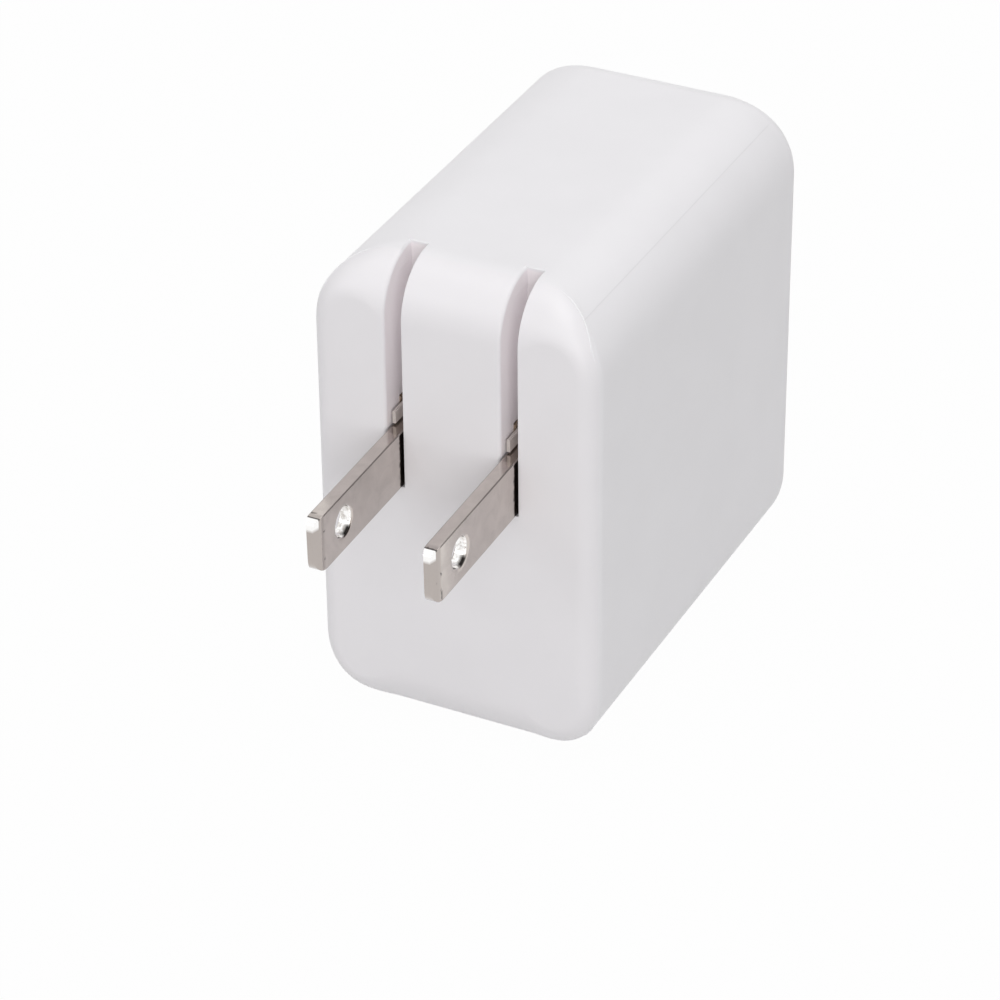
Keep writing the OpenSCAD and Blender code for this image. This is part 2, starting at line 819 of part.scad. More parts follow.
module transformer_winding() {
    tube_r = post_r + bobbin_gap + bobbin_t;
    low = trafo_x + core_plate + bobbin_gap + bobbin_t + eps;
    high = trafo_top - core_plate - bobbin_gap - bobbin_t - eps;
    color("khaki") difference() {
        rod_x(low, high, trafo_y, trafo_z, core_y / 2 - core_leg - 2 * bobbin_gap);
        rod_x(low - over, high + over, trafo_y, trafo_z, tube_r + eps);
    }
}

// ---------- capacitors, choke and small parts ----------

// Can capacitor that stands on the main board, with a rolled groove near its foot
module bulk_capacitor(y) {
    x0 = main_top_x + lead_gap;
    color("midnightblue") difference() {
        rod_x(x0, x0 + bulk_l, y, bulk_z, bulk_r);
        translate([x0 + bulk_groove_h, y, bulk_z]) rotate([0, 90, 0])
            rotate_extrude() translate([bulk_r, 0]) circle(r = bulk_groove_r, $fn = 24);
    }
}

module front_bulk_capacitor() {
    bulk_capacitor(bulk_y[0]);
}

module rear_bulk_capacitor() {
    bulk_capacitor(bulk_y[1]);
}

module x_capacitor() {
    x0 = main_top_x + lead_gap;
    color("khaki") box([x0, bay_front, x_cap_low],
        [x0 + x_cap[0], bay_front + x_cap[1], x_cap_low + x_cap[2]]);
}

module choke_core() {
    color("darkgreen") difference() {
        rod_y(choke_y - choke_t / 2, choke_y + choke_t / 2, choke_x, choke_z, choke_r);
        rod_y(choke_y - choke_t, choke_y + choke_t, choke_x, choke_z, choke_hole_r);
    }
}

// Two wound sectors that wrap the ring core
module choke_winding() {
    inner = choke_hole_r - choke_wire;
    hole = choke_hole_r - choke_wire_gap;
    half_t = choke_t / 2 + choke_wire;
    hole_half_t = choke_t / 2 + choke_wire_gap;
    for (turn = [0, 180])
        color("peru") translate([choke_x, choke_y, choke_z]) rotate([90, turn - choke_span / 2, 0])
            rotate_extrude(angle = choke_span) difference() {
                translate([inner, -half_t]) square([choke_r + choke_wire - inner, 2 * half_t]);
                translate([hole, -hole_half_t])
                    square([choke_r + choke_wire_gap - hole, 2 * hole_half_t]);
            }
}

module fuse() {
    color("black") rod_y(input_back_y + lead_gap, input_back_y + fuse_l,
        board_r - fuse_r - input_edge_gap, choke_z, fuse_r);
}

module varistor() {
    color("royalblue") rod_y(input_back_y + lead_gap, input_back_y + varistor_t,
        board_r - varistor_r - input_edge_gap, x_cap_low + varistor_r + input_edge_gap, varistor_r);
}

// Small part that lies on the main board, from corner (y, z)
module on_main_board(size, y, z) {
    box([main_top_x, y, z], [main_top_x + size[0], y + size[1], z + size[2]]);
}

module bridge_rectifier() {
    color("black") on_main_board(bridge, bay_front + x_cap[1] + part_gap, mid_z);
}

module power_switch() {
    color("black") on_main_board(switch_ic, bay_back - switch_ic[1] - switch_gap[0], mid_z + switch_gap[1]);
}

module optocoupler() {
    color("black") on_main_board(opto, bay_back - opto[1], inner_edge[1] - opto[2]);
}

module y_capacitor() {
    color("royalblue") on_main_board(y_cap, bay_back - core_y, inner_edge[1] - y_cap[2]);
}

module sync_rectifier() {
    color("black") on_main_board(sync_ic, port_board_back + sync_from_board, usb_a_h + usb_a[1]);
}

// Can capacitor that stands on the back of the port board
module output_capacitor(x) {
    color("silver") rod_y(port_board_back + lead_gap, port_board_back + output_cap_l,
        x, output_cap_z, output_cap_r);
}

module left_output_capacitor() {
    output_capacitor(-output_cap_x);
}

module right_output_capacitor() {
    output_capacitor(output_cap_x);
}

module buck_inductor() {
    color("dimgray") translate([-inductor[0] - inductor_x, port_board_back, port_top_z]) cube(inductor);
}

module port_controller() {
    color("black") translate([port_ic_x, port_board_back, port_top_z]) cube(port_ic);
}

// ---------- heat spreader and insulation ----------

module heat_spreader() {
    edge = board_edge(spreader_x + spreader_t);
    color("silver") box([spreader_x, bay_front, edge[0]], [spreader_x + spreader_t, bay_back, edge[1]]);
}

module thermal_pad() {
    color("lightpink") box([trafo_top, trafo_y - core_y / 2, trafo_z - core_z / 2],
        [spreader_x, trafo_y + core_y / 2, trafo_z + core_z / 2]);
}

module insulating_sheet() {
    x = main_x - sheet_gap - sheet_t;
    edge = board_edge(x);
    color("ivory") box([x, input_y, edge[0]], [x + sheet_t, back_wall_y - board_gap, edge[1]]);
}

main_shell();
front_cover();
left_blade();
right_blade();
blade_holder();
blade_retainer();
retainer_screws();
detent_spring();
left_contact_spring();
right_contact_spring();
input_board();
main_board();
port_board();
usb_c_shell();
usb_c_tongue();
usb_c_contacts();
usb_a_shell();
usb_a_tongue();
usb_a_contacts();
transformer_core_lower();
transformer_core_upper();
transformer_bobbin();
transformer_winding();
front_bulk_capacitor();
rear_bulk_capacitor();
x_capacitor();
choke_core();
choke_winding();
fuse();
varistor();
bridge_rectifier();
power_switch();
optocoupler();
y_capacitor();
left_output_capacitor();
right_output_capacitor();
buck_inductor();
port_controller();
sync_rectifier();
heat_spreader();
thermal_pad();
insulating_sheet();
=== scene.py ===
"""Plug-in USB charger with two folding blades: smooth skins, materials, light and camera."""
import contextlib
import json
import math
import bmesh
import bpy
from mathutils import Matrix, Vector


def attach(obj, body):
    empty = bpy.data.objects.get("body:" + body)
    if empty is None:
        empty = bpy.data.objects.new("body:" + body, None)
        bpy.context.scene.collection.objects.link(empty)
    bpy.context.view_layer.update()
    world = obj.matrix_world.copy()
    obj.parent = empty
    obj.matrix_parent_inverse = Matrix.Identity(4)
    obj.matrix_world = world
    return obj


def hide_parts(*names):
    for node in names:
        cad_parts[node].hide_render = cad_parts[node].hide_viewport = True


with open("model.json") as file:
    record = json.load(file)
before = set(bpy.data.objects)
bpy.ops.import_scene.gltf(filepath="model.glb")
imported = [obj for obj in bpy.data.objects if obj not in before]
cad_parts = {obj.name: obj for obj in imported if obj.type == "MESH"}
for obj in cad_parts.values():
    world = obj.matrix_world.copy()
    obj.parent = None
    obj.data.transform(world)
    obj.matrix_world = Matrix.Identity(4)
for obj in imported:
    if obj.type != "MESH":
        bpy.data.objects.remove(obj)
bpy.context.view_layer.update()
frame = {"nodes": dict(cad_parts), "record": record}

MM = 0.001
QUARTER = math.pi / 2

# ---------- sizes in mm, as in the CAD ----------
BODY_W, BODY_D, BODY_H = 31.5, 51.0, 53.8
LONG_R, WALL = 8.3, 2.0
FRONT_SIDE_R, FRONT_CORNER_R, FRONT_LEVEL_R = 2.2, 2.9, 5.9
BACK_SIDE_R, BACK_LEVEL_R = 2.2, 3.7
COVER_T, SEAM_BACK, SEAM_TURN = 1.2, 4.55, math.radians(40)
LIP_T, LIP_GAP, LIP_END = 1.2, 0.1, 8.0
EDGE_SKIN = 0.3

BLADE_OUT, BLADE_W, BLADE_T, BLADE_X, TIP_R = 17.9, 6.35, 1.5, 6.35, 0.8
HOLE_R, HOLE_TO_TIP, RIM_W = 1.59, 5.6, 0.5
EAR_DEPTH, EAR_L, EAR_H, EAR_T, EAR_NECK, SLIT_W = 1.0, 3.3, 1.6, 0.4, 0.8, 0.22
PIVOT_DEPTH, PIVOT_Z = 2.95, 32.3
DROOP = math.radians(1.3)

SLOT_SIDE_GAP, SLOT_END_GAP = 0.2, 0.15
POCKET_T, POCKET_RISE, SWEEP_R = 0.9, 2.15, 5.46
BEARING_IN, BEARING_OUT, BEARING_H = 10.2, 12.1, 2.4
BARREL_BORE_R, JOURNAL_BORE_R, BLADE_BORE_R, JOURNAL_END = 1.95, 1.15, 1.22, 12.0
SCREW_X, SCREW_DROP, SCREW_R, BOSS_R, BOSS_BACK = 7.6, 6.7, 0.8, 1.9, 2.25

# Width, height and corner radius of each port, and its height above the floor
PORTS = ((8.94, 3.26, 1.71, 35.5), (13.14, 5.72, 0.6, 21.5))
PORT_GAP = 0.1
# Lower rail of the main board in (x, z), the grooves in both rails, and how far the rails enter the
# wall behind them
RAIL = ((-14.6, 4.8), (-12.6, 2.4), (-10.9, 1.4), (-10.9, 6.619), (-14.6, 6.619))
GROOVE_X, GROOVES_Z = (-13.05, -11.75), ((4.82, 7.6), (46.18, 47.98))
RAIL_IN = 0.2

# ---------- sizes in mm that the CAD lacks or has differently ----------
# From the photograph, apart from the edge of the ports
TIP_LOW_R = 2.0
BEVEL_L, BEVEL_D, RIM_D = 1.3, 0.42, 0.3
BLADE_SOFT = 0.13
SLOT_SOFT_LEFT, SLOT_SOFT_RIGHT, SLOT_SOFT_END = 0.36, 0.09, 0.14
PORT_SOFT = 0.28
MOULD_LINE = math.radians(46.5)

# ---------- places in mm ----------
REACH = (TIP_R + (PIVOT_DEPTH + BLADE_OUT - TIP_R) * math.cos(DROOP)
         + (BLADE_W / 2 - TIP_R) * math.sin(DROOP) - PIVOT_DEPTH)
FACE_Y = (REACH - BODY_D) / 2
BACK_Y = FACE_Y + BODY_D
PIVOT_Y = FACE_Y + PIVOT_DEPTH
HALF_W, HALF_H = BODY_W / 2, BODY_H / 2
CAV_W, CAV_H, CAV_R = BODY_W - 2 * WALL, BODY_H - 2 * WALL, LONG_R - WALL
SLOT_W = BLADE_T + 2 * SLOT_SIDE_GAP
SLOT_LOW = PIVOT_Z - BLADE_W / 2 - SLOT_END_GAP
SLOT_BACK = PIVOT_Y + BLADE_W / 2 + SLOT_END_GAP
SEAM_R = FRONT_LEVEL_R - COVER_T
TURN_Y = FRONT_LEVEL_R - SEAM_R * math.cos(SEAM_TURN)
TURN_D = FRONT_LEVEL_R - SEAM_R * math.sin(SEAM_TURN)
LEAN = (SEAM_BACK - TURN_Y) / TURN_D

# ---------- camera ----------
# Fitted to the outline of the housing, the blades and the slots. Angles are in degrees, the target
# and the distance in mm, and the focal length in pixels of a picture 1000 pixels wide.
CAM = dict(azimuth=26.517, height=32.549, roll=-0.544, distance=432.182, focal=4026.532,
           target=(-6.981, -0.889 + BODY_D / 2 + FACE_Y, 12.879))
PICTURE_W, SENSOR_W = 1000, 36


def place_camera():
    az, el, roll = (math.radians(CAM[k]) for k in ("azimuth", "height", "roll"))
    back = Vector((math.sin(az) * math.cos(el), -math.cos(az) * math.cos(el), math.sin(el)))
    right = Vector((math.cos(az), math.sin(az), 0))
    up = back.cross(right)
    r = right * math.cos(roll) + up * math.sin(roll)
    u = up * math.cos(roll) - right * math.sin(roll)
    spot = (Vector(CAM["target"]) + back * CAM["distance"]) * MM
    data = bpy.data.cameras.new("camera")
    data.sensor_width = SENSOR_W
    data.lens = CAM["focal"] / PICTURE_W * SENSOR_W
    data.clip_start = 0.01
    data.clip_end = 20
    cam = bpy.data.objects.new("camera", data)
    rows = Matrix((r, u, back)).transposed().to_4x4()
    cam.matrix_world = Matrix.Translation(spot) @ rows
    bpy.context.scene.collection.objects.link(cam)
    bpy.context.scene.camera = cam


place_camera()


# ---------- node materials ----------
# The Mix node has sockets of the same name for numbers and colours; these are the colour ones
MIX_A, MIX_B, MIX_RESULT = 6, 7, 2


def math_node(tree, operation, a, b=None):
    """Adds a math node that takes sockets or plain numbers."""
    n = tree.nodes.new("ShaderNodeMath")
    n.operation = operation
    for i, v in enumerate((a, b)):
        if v is None:
            continue
        if isinstance(v, (int, float)):
            n.inputs[i].default_value = v
        else:
            tree.links.new(v, n.inputs[i])
    return n.outputs["Value"]


def darker(colour, share):
    return tuple(c * share for c in colour)


class Paint:
    """Builds one node material around a Principled shader."""

    def __init__(self, name, **constants):
        self.mat = bpy.data.materials.new(name)
        self.mat.use_nodes = True
        self.tree = self.mat.node_tree
        self.tree.nodes.clear()
        out = self.node("ShaderNodeOutputMaterial")
        self.shader = self.node("ShaderNodeBsdfPrincipled")
        self.link(self.shader.outputs["BSDF"], out.inputs["Surface"])
        for key, value in constants.items():
            self.shader.inputs[key.replace("_", " ")].default_value = value
        self.coords = self.node("ShaderNodeTexCoord").outputs["Object"]
        self.normal = None

    def link(self, a, b):
        self.tree.links.new(a, b)

    def node(self, kind, **values):
        n = self.tree.nodes.new(kind)
        for key, value in values.items():
            setattr(n, key, value)
        return n

    def stretched(self, stretch):
        m = self.node("ShaderNodeMapping")
        m.inputs["Scale"].default_value = stretch
        self.link(self.coords, m.inputs["Vector"])
        return m.outputs["Vector"]

    def noise(self, size_mm, detail=3.0, rough=0.5, stretch=(1, 1, 1), warp=0.0):
        n = self.node("ShaderNodeTexNoise")
        n.inputs["Scale"].default_value = 1 / (size_mm * MM)
        n.inputs["Detail"].default_value = detail
        n.inputs["Roughness"].default_value = rough
        n.inputs["Distortion"].default_value = warp
        self.link(self.stretched(stretch), n.inputs["Vector"])
        return n.outputs["Fac"]

    def cell_edges(self, size_mm):
        n = self.node("ShaderNodeTexVoronoi", feature="DISTANCE_TO_EDGE")
        n.inputs["Scale"].default_value = 1 / (size_mm * MM)
        self.link(self.stretched((1, 1, 1)), n.inputs["Vector"])
        return n.outputs["Distance"]

    def remap(self, value, low, high, to_low=0.0, to_high=1.0):
        n = self.node("ShaderNodeMapRange", clamp=True)
        self.link(value, n.inputs["Value"])
        for key, v in (("From Min", low), ("From Max", high), ("To Min", to_low), ("To Max", to_high)):
            n.inputs[key].default_value = v
        return n.outputs["Result"]

    def reach(self, value, low, high, to_low=0.0, to_high=1.0):
        """Like remap, for a place or distance whose two limits are in mm."""
        return self.remap(value, low * MM, high * MM, to_low, to_high)

    def math(self, operation, a, b=None):
        return math_node(self.tree, operation, a, b)

    def times(self, a, b):
        return self.math("MULTIPLY", a, b)

    def less(self, a, b):
        return self.math("SUBTRACT", a, b)

    def size(self, a):
        return self.math("ABSOLUTE", a)

    def length(self, a, b):
        """Length of the long side over two short ones."""
        return self.math("SQRT", self.math("ADD", self.times(a, a), self.times(b, b)))

    def axis(self, name):
        n = self.node("ShaderNodeSeparateXYZ")
        self.link(self.coords, n.inputs["Vector"])
        return n.outputs[name]

    def blend(self, factor, a, b):
        n = self.node("ShaderNodeMix", data_type="RGBA")
        self.link(factor, n.inputs["Factor"])
        for key, v in ((MIX_A, a), (MIX_B, b)):
            if isinstance(v, tuple):
                n.inputs[key].default_value = (*v, 1)
            else:
                self.link(v, n.inputs[key])
        return n.outputs[MIX_RESULT]

    def colour(self, value):
        self.link(value, self.shader.inputs["Base Color"])

    def rough(self, value):
        self.link(value, self.shader.inputs["Roughness"])

    def bump(self, height, depth_mm):
        n = self.node("ShaderNodeBump")
        n.inputs["Distance"].default_value = depth_mm * MM
        n.inputs["Strength"].default_value = 1.0
        self.link(height, n.inputs["Height"])
        if self.normal is not None:
            self.link(self.normal, n.inputs["Normal"])
        self.normal = n.outputs["Normal"]

    def done(self):
        if self.normal is not None:
            self.link(self.normal, self.shader.inputs["Normal"])
        return self.mat

    def worn(self, low=0.52, high=0.6):
        """Bright on sharp outer edges, 0 elsewhere."""
        g = self.node("ShaderNodeNewGeometry")
        return self.remap(g.outputs["Pointiness"], low, high)


# ---------- housing plastic ----------
SLOT_GLOW = (1.0, 0.955, 0.972)


def slot_glow(p, tone):
    """The walls inside the slots are a little brighter and warmer, as light goes to and fro there."""
    across = p.size(p.less(p.size(p.axis("X")), BLADE_X * MM))
    ey = p.math("MAXIMUM", p.less((FACE_Y + FRONT_LEVEL_R) * MM, p.axis("Y")), 0.0)
    ez = p.math("MAXIMUM", p.less(p.axis("Z"), (BODY_H - FRONT_LEVEL_R) * MM), 0.0)
    deep = p.reach(p.length(ey, ez), FRONT_LEVEL_R - 0.1, FRONT_LEVEL_R - 0.45)
    between = p.reach(across, SLOT_W / 2 + 0.01, SLOT_W / 2 + 0.06, 1, 0)
    before_end = p.reach(p.axis("Y"), SLOT_BACK + 0.01, SLOT_BACK + 0.04, 1, 0)
    above_low = p.reach(p.axis("Z"), SLOT_LOW - 0.04, SLOT_LOW - 0.01)
    inside = p.times(p.times(deep, between), above_low)
    return p.blend(p.times(inside, before_end), tone, SLOT_GLOW)


def mould_line(p, tone, tint):
    """Parting line of the mould along the four long edges, as a faint ridge that ends near the ports."""
    x = p.less(p.size(p.axis("X")), (HALF_W - LONG_R) * MM)
    z = p.less(p.size(p.less(p.axis("Z"), HALF_H * MM)), (HALF_H - LONG_R) * MM)
    off = p.size(p.less(p.math("ARCTAN2", z, x), MOULD_LINE))
    along = p.reach(p.axis("Y"), BACK_Y - 4, BACK_Y - 2, 1, 0)
    p.bump(p.times(p.remap(off, 0.0, 0.02, 1.0, 0.0), along), 0.02)
    thin = p.times(p.remap(off, 0.005, 0.01, 1.0, 0.0), along)
    return p.blend(thin, tone, darker(tint, 0.93))


def white_plastic(name, tint, with_mould_line):
    """Satin white housing plastic with an even, very fine grain."""
    p = Paint(name, IOR=1.5)
    tone = p.blend(p.remap(p.noise(9, 2), 0.35, 0.65), darker(tint, 0.985), tint)
    fine, cloud = p.noise(0.16, 2, 0.6), p.noise(5, 3)
    p.rough(p.math("ADD", p.remap(cloud, 0.3, 0.7, 0.36, 0.42), p.remap(fine, 0.3, 0.7, -0.02, 0.03)))
    p.bump(fine, 0.0016)
    p.bump(p.noise(1.3, 2), 0.004)
    tone = slot_glow(p, tone)
    if with_mould_line:
        tone = mould_line(p, tone, tint)
    p.colour(tone)
    return p.done()


# ---------- nickel of the blades ----------
# Painted highlight for the tip's upper corner and the wall of the hole, and the greyer patches in the
# hole's painted highlight
PAINTED_HIGHLIGHT, HOLE_HIGHLIGHT_GREY = (0.98, 0.97, 0.96), (0.62, 0.58, 0.55)
# Painted shade for the flat sides inside the slots, and the contact ear's own tint
SLOT_SHADE_TINT, EAR_TINT = (0.06, 0.043, 0.035), (0.6, 0.55, 0.52)
# Where the tints of the tip come in: distances from the tip in mm, from none to full
BEVEL_TINT, FACE_TINT, END_TINT = (1.7, 1.3), (0.5, 0.3), (0.8, 0.72)
# Bands across the blade: distance from the tip in mm, and how far from there they are full and gone
SPECK_BAND, CORNER_LINE = (1.25, 0.3, 0.6), (0.82, 0.07, 0.13)
# Way from the middle of the hole to the painted dark patch in it, in (y, z): down and a little back
DARK_PATCH_WAY = (0.42, -0.91)


def blade_place(p):
    """Distance from a blade's middle plane, and height over its middle line, which droops."""
    fall = p.times(p.less(p.axis("Y"), PIVOT_Y * MM), math.tan(DROOP))
    side = p.less(p.size(p.axis("X")), BLADE_X * MM)
    level = p.less(p.less(p.axis("Z"), PIVOT_Z * MM), fall)
    return side, level


def edge_dark_reflection(p, shade, side, level, dark):
    """Painted dark reflection along the long rounded edges: they are darker."""
    dx = p.less(p.size(side), (BLADE_T / 2 - 0.03) * MM)
    dz = p.less(p.size(level), (BLADE_W / 2 - 0.03) * MM)
    return p.blend(p.reach(p.length(dx, dz), 0.05, 0.11, 1, 0), shade, darker(dark, 0.42))


def hole_highlight_and_shade(p, shade, side, dark):
    """Painted highlight on the wall of the hole in greyer patches, and a painted dark reflection with
    painted shade at its foot on the +X side.
    """
    hole = PIVOT_DEPTH + BLADE_OUT - HOLE_TO_TIP
    hy = p.less(p.axis("Y"), (PIVOT_Y - hole * math.cos(DROOP)) * MM)
    hz = p.less(p.axis("Z"), (PIVOT_Z - hole * math.sin(DROOP)) * MM)
    radius = p.length(hy, hz)
    patches = p.remap(p.noise(0.45, 3, 0.6, warp=0.5), 0.45, 0.68)
    rim = p.reach(radius, HOLE_R + 0.03, HOLE_R + 0.12, 1, 0)
    # painted highlight on the wall of the hole
    shade = p.blend(rim, shade, p.blend(patches, PAINTED_HIGHLIGHT, HOLE_HIGHLIGHT_GREY))
    inside = p.reach(radius, HOLE_R + 0.15, HOLE_R + 0.28, 1, 0)
    down = p.math("ADD", p.times(hz, DARK_PATCH_WAY[1]), p.times(hy, DARK_PATCH_WAY[0]))
    foot = p.remap(p.math("DIVIDE", down, radius), 0.84, 0.97)
    mouth = p.reach(p.times(side, p.math("SIGN", p.axis("X"))), 0.05, 0.45)
    # painted dark reflection and painted shade at the hole's foot
    return p.blend(p.times(p.times(inside, foot), mouth), shade, darker(dark, 0.05))


def tip_highlight_and_shade(p, shade, level, dark):
    """Darker bevels with painted dark reflections as specks where they begin, painted shade on the lower
    end face, and a painted highlight on the upper corner with a painted dark reflection as a line behind
    it.
    """
    y, tip, half = p.axis("Y"), PIVOT_Y - PIVOT_DEPTH - BLADE_OUT, BLADE_W / 2

    def from_tip(limits):
        return p.reach(y, tip + limits[0], tip + limits[1])

    def band(middle, full, none):
        return p.reach(p.size(p.less(y, (tip + middle) * MM)), full, none, 1, 0)

    shade = p.blend(from_tip(BEVEL_TINT), shade, darker(dark, 0.88))
    # painted dark reflections as specks where the bevels begin
    specks = p.remap(p.noise(1.1, 2, 0.5, warp=0.4), 0.62, 0.66)
    shade = p.blend(p.times(specks, band(*SPECK_BAND)), shade, darker(dark, 0.25))
    # painted shade on the lower part of the end face
    lower = p.reach(level, 0.9, -2)
    shade = p.blend(p.times(from_tip(FACE_TINT), lower), shade, darker(dark, 0.9))
    # painted highlight on the rounded upper corner
    upper = p.reach(level, 1.95, 2.35)
    shade = p.blend(p.times(from_tip(END_TINT), upper), shade, PAINTED_HIGHLIGHT)
    # painted dark reflection as a line behind that highlight
    topmost = p.reach(level, half - 0.2, half - 0.1)
    return p.blend(p.times(band(*CORNER_LINE), topmost), shade, darker(dark, 0.2))


def slot_shade(p, shade, level, dark):
    """Painted shade on what stays inside the slots, darkest on the flat sides, with the contact ear in
    its own tint; also gives where the ear dulls.
    """
    half = BLADE_W / 2
    ragged = p.remap(p.noise(0.6, 3, 0.6), 0.3, 0.7, -0.15 * MM, 0.15 * MM)
    within = p.reach(p.math("ADD", p.axis("Y"), ragged), FACE_Y - 0.6, FACE_Y - 0.42)
    flat = p.reach(level, half - 0.08, half - 0.16)
    ear = p.reach(level, half + 0.05, half + 0.15)
    # painted shade inside the slots, darkest on the flat sides
    inner = p.blend(flat, darker(dark, 0.95), SLOT_SHADE_TINT)
    return p.blend(within, shade, p.blend(ear, inner, EAR_TINT)), p.times(within, ear)


def nickel(name, base, dark, rough):
    """Nickel plate: drawn along the part, faintly mottled, with painted highlights, painted dark
    reflections and painted shade.
    """
    p = Paint(name, Metallic=1.0)
    mottle = p.remap(p.noise(2.2, 4, 0.6, warp=0.6), 0.36, 0.66)
    streak = p.noise(0.22, 3, 0.6, stretch=(1, 0.06, 1))
    side, level = blade_place(p)
    shade = p.blend(p.times(mottle, 0.8), base, dark)
    shade = edge_dark_reflection(p, shade, side, level, dark)
    shade = hole_highlight_and_shade(p, shade, side, dark)
    shade = tip_highlight_and_shade(p, shade, level, dark)
    shade, dull = slot_shade(p, shade, level, dark)
    p.colour(shade)
    # the contact ear is dull with tarnish all over, so it hardly reflects
    p.link(p.remap(dull, 0, 1, 1.0, 0.1), p.shader.inputs["Metallic"])
    gloss = p.math("ADD", p.remap(mottle, 0, 1, rough, rough + 0.09),
                   p.remap(streak, 0.3, 0.7, -0.03, 0.04))
    p.rough(p.math("ADD", gloss, p.times(dull, 0.4)))
    p.bump(streak, 0.0012)
    p.bump(p.noise(0.5, 3, 0.55), 0.0018)
    return p.done()


# ---------- other finishes ----------
def speckled(name, a, b, size, rough, grain, depth, metallic=0.0, **more):
    """General finish: two close colours, uneven gloss and a fine bump."""
    p = Paint(name, Metallic=metallic, **more)
    cloud = p.remap(p.noise(size, 4, 0.6), 0.35, 0.65)
    p.colour(p.blend(cloud, a, b))
    fine = p.noise(grain, 3, 0.6)
    p.rough(p.math("ADD", p.remap(cloud, 0, 1, rough - 0.04, rough + 0.05),
                   p.remap(fine, 0.3, 0.7, -0.04, 0.05)))
    p.bump(fine, depth)
    return p.done()


def drawn_metal(name, a, b, rough, stretch):
    """Rolled or drawn metal with fine lines along the stretched axis."""
    p = Paint(name, Metallic=1.0)
    lines = p.noise(0.3, 4, 0.6, stretch=stretch)
    cloud = p.remap(p.noise(3, 3), 0.35, 0.65)
    bright = tuple(min(1, c * 1.2) for c in a)
    p.colour(p.blend(p.times(p.worn(), 0.8), p.blend(cloud, a, b), bright))
    p.rough(p.math("ADD", p.remap(lines, 0.3, 0.7, rough - 0.05, rough + 0.08),
                   p.remap(cloud, 0, 1, 0, 0.06)))
    p.bump(lines, 0.002)
    return p.done()


def circuit_board(name):
    """Green solder mask over traces and glass weave."""
    p = Paint(name, IOR=1.5, Coat_Weight=0.3, Coat_Roughness=0.15)
    traces = p.remap(p.cell_edges(2.4), 0.03, 0.06, 1, 0)
    weave = p.noise(0.3, 2, stretch=(1, 4, 1))
    dark = p.blend(p.remap(weave, 0.35, 0.65), (0.006, 0.075, 0.03), (0.009, 0.1, 0.04))
    p.colour(p.blend(traces, dark, (0.02, 0.17, 0.06)))
    p.rough(p.remap(weave, 0.3, 0.7, 0.28, 0.42))
    p.bump(traces, 0.03)
    p.bump(weave, 0.004)
    return p.done()


def windings(name, a, b, pitch, axis):
    """Turns of enamelled wire or tape: ribs across one axis."""
    p = Paint(name, IOR=1.5)
    wave = p.node("ShaderNodeTexWave", wave_type="BANDS", bands_direction=axis, wave_profile="SIN")
    # at a scale of 1 the bands repeat every twentieth of a full turn, 6.2832
    wave.inputs["Scale"].default_value = 0.05 / (pitch * MM) * 6.2832
    wave.inputs["Distortion"].default_value = 0.6
    p.link(p.coords, wave.inputs["Vector"])
    ribs = wave.outputs["Fac"]
    p.colour(p.blend(ribs, a, b))
    p.rough(p.remap(p.noise(0.8, 3), 0.3, 0.7, 0.3, 0.48))
    p.bump(ribs, 0.06)
    return p.done()


def black_plastic(name):
    return speckled(name, (0.012, 0.012, 0.013), (0.02, 0.02, 0.021), 1.5, 0.45, 0.12, 0.004, IOR=1.5)


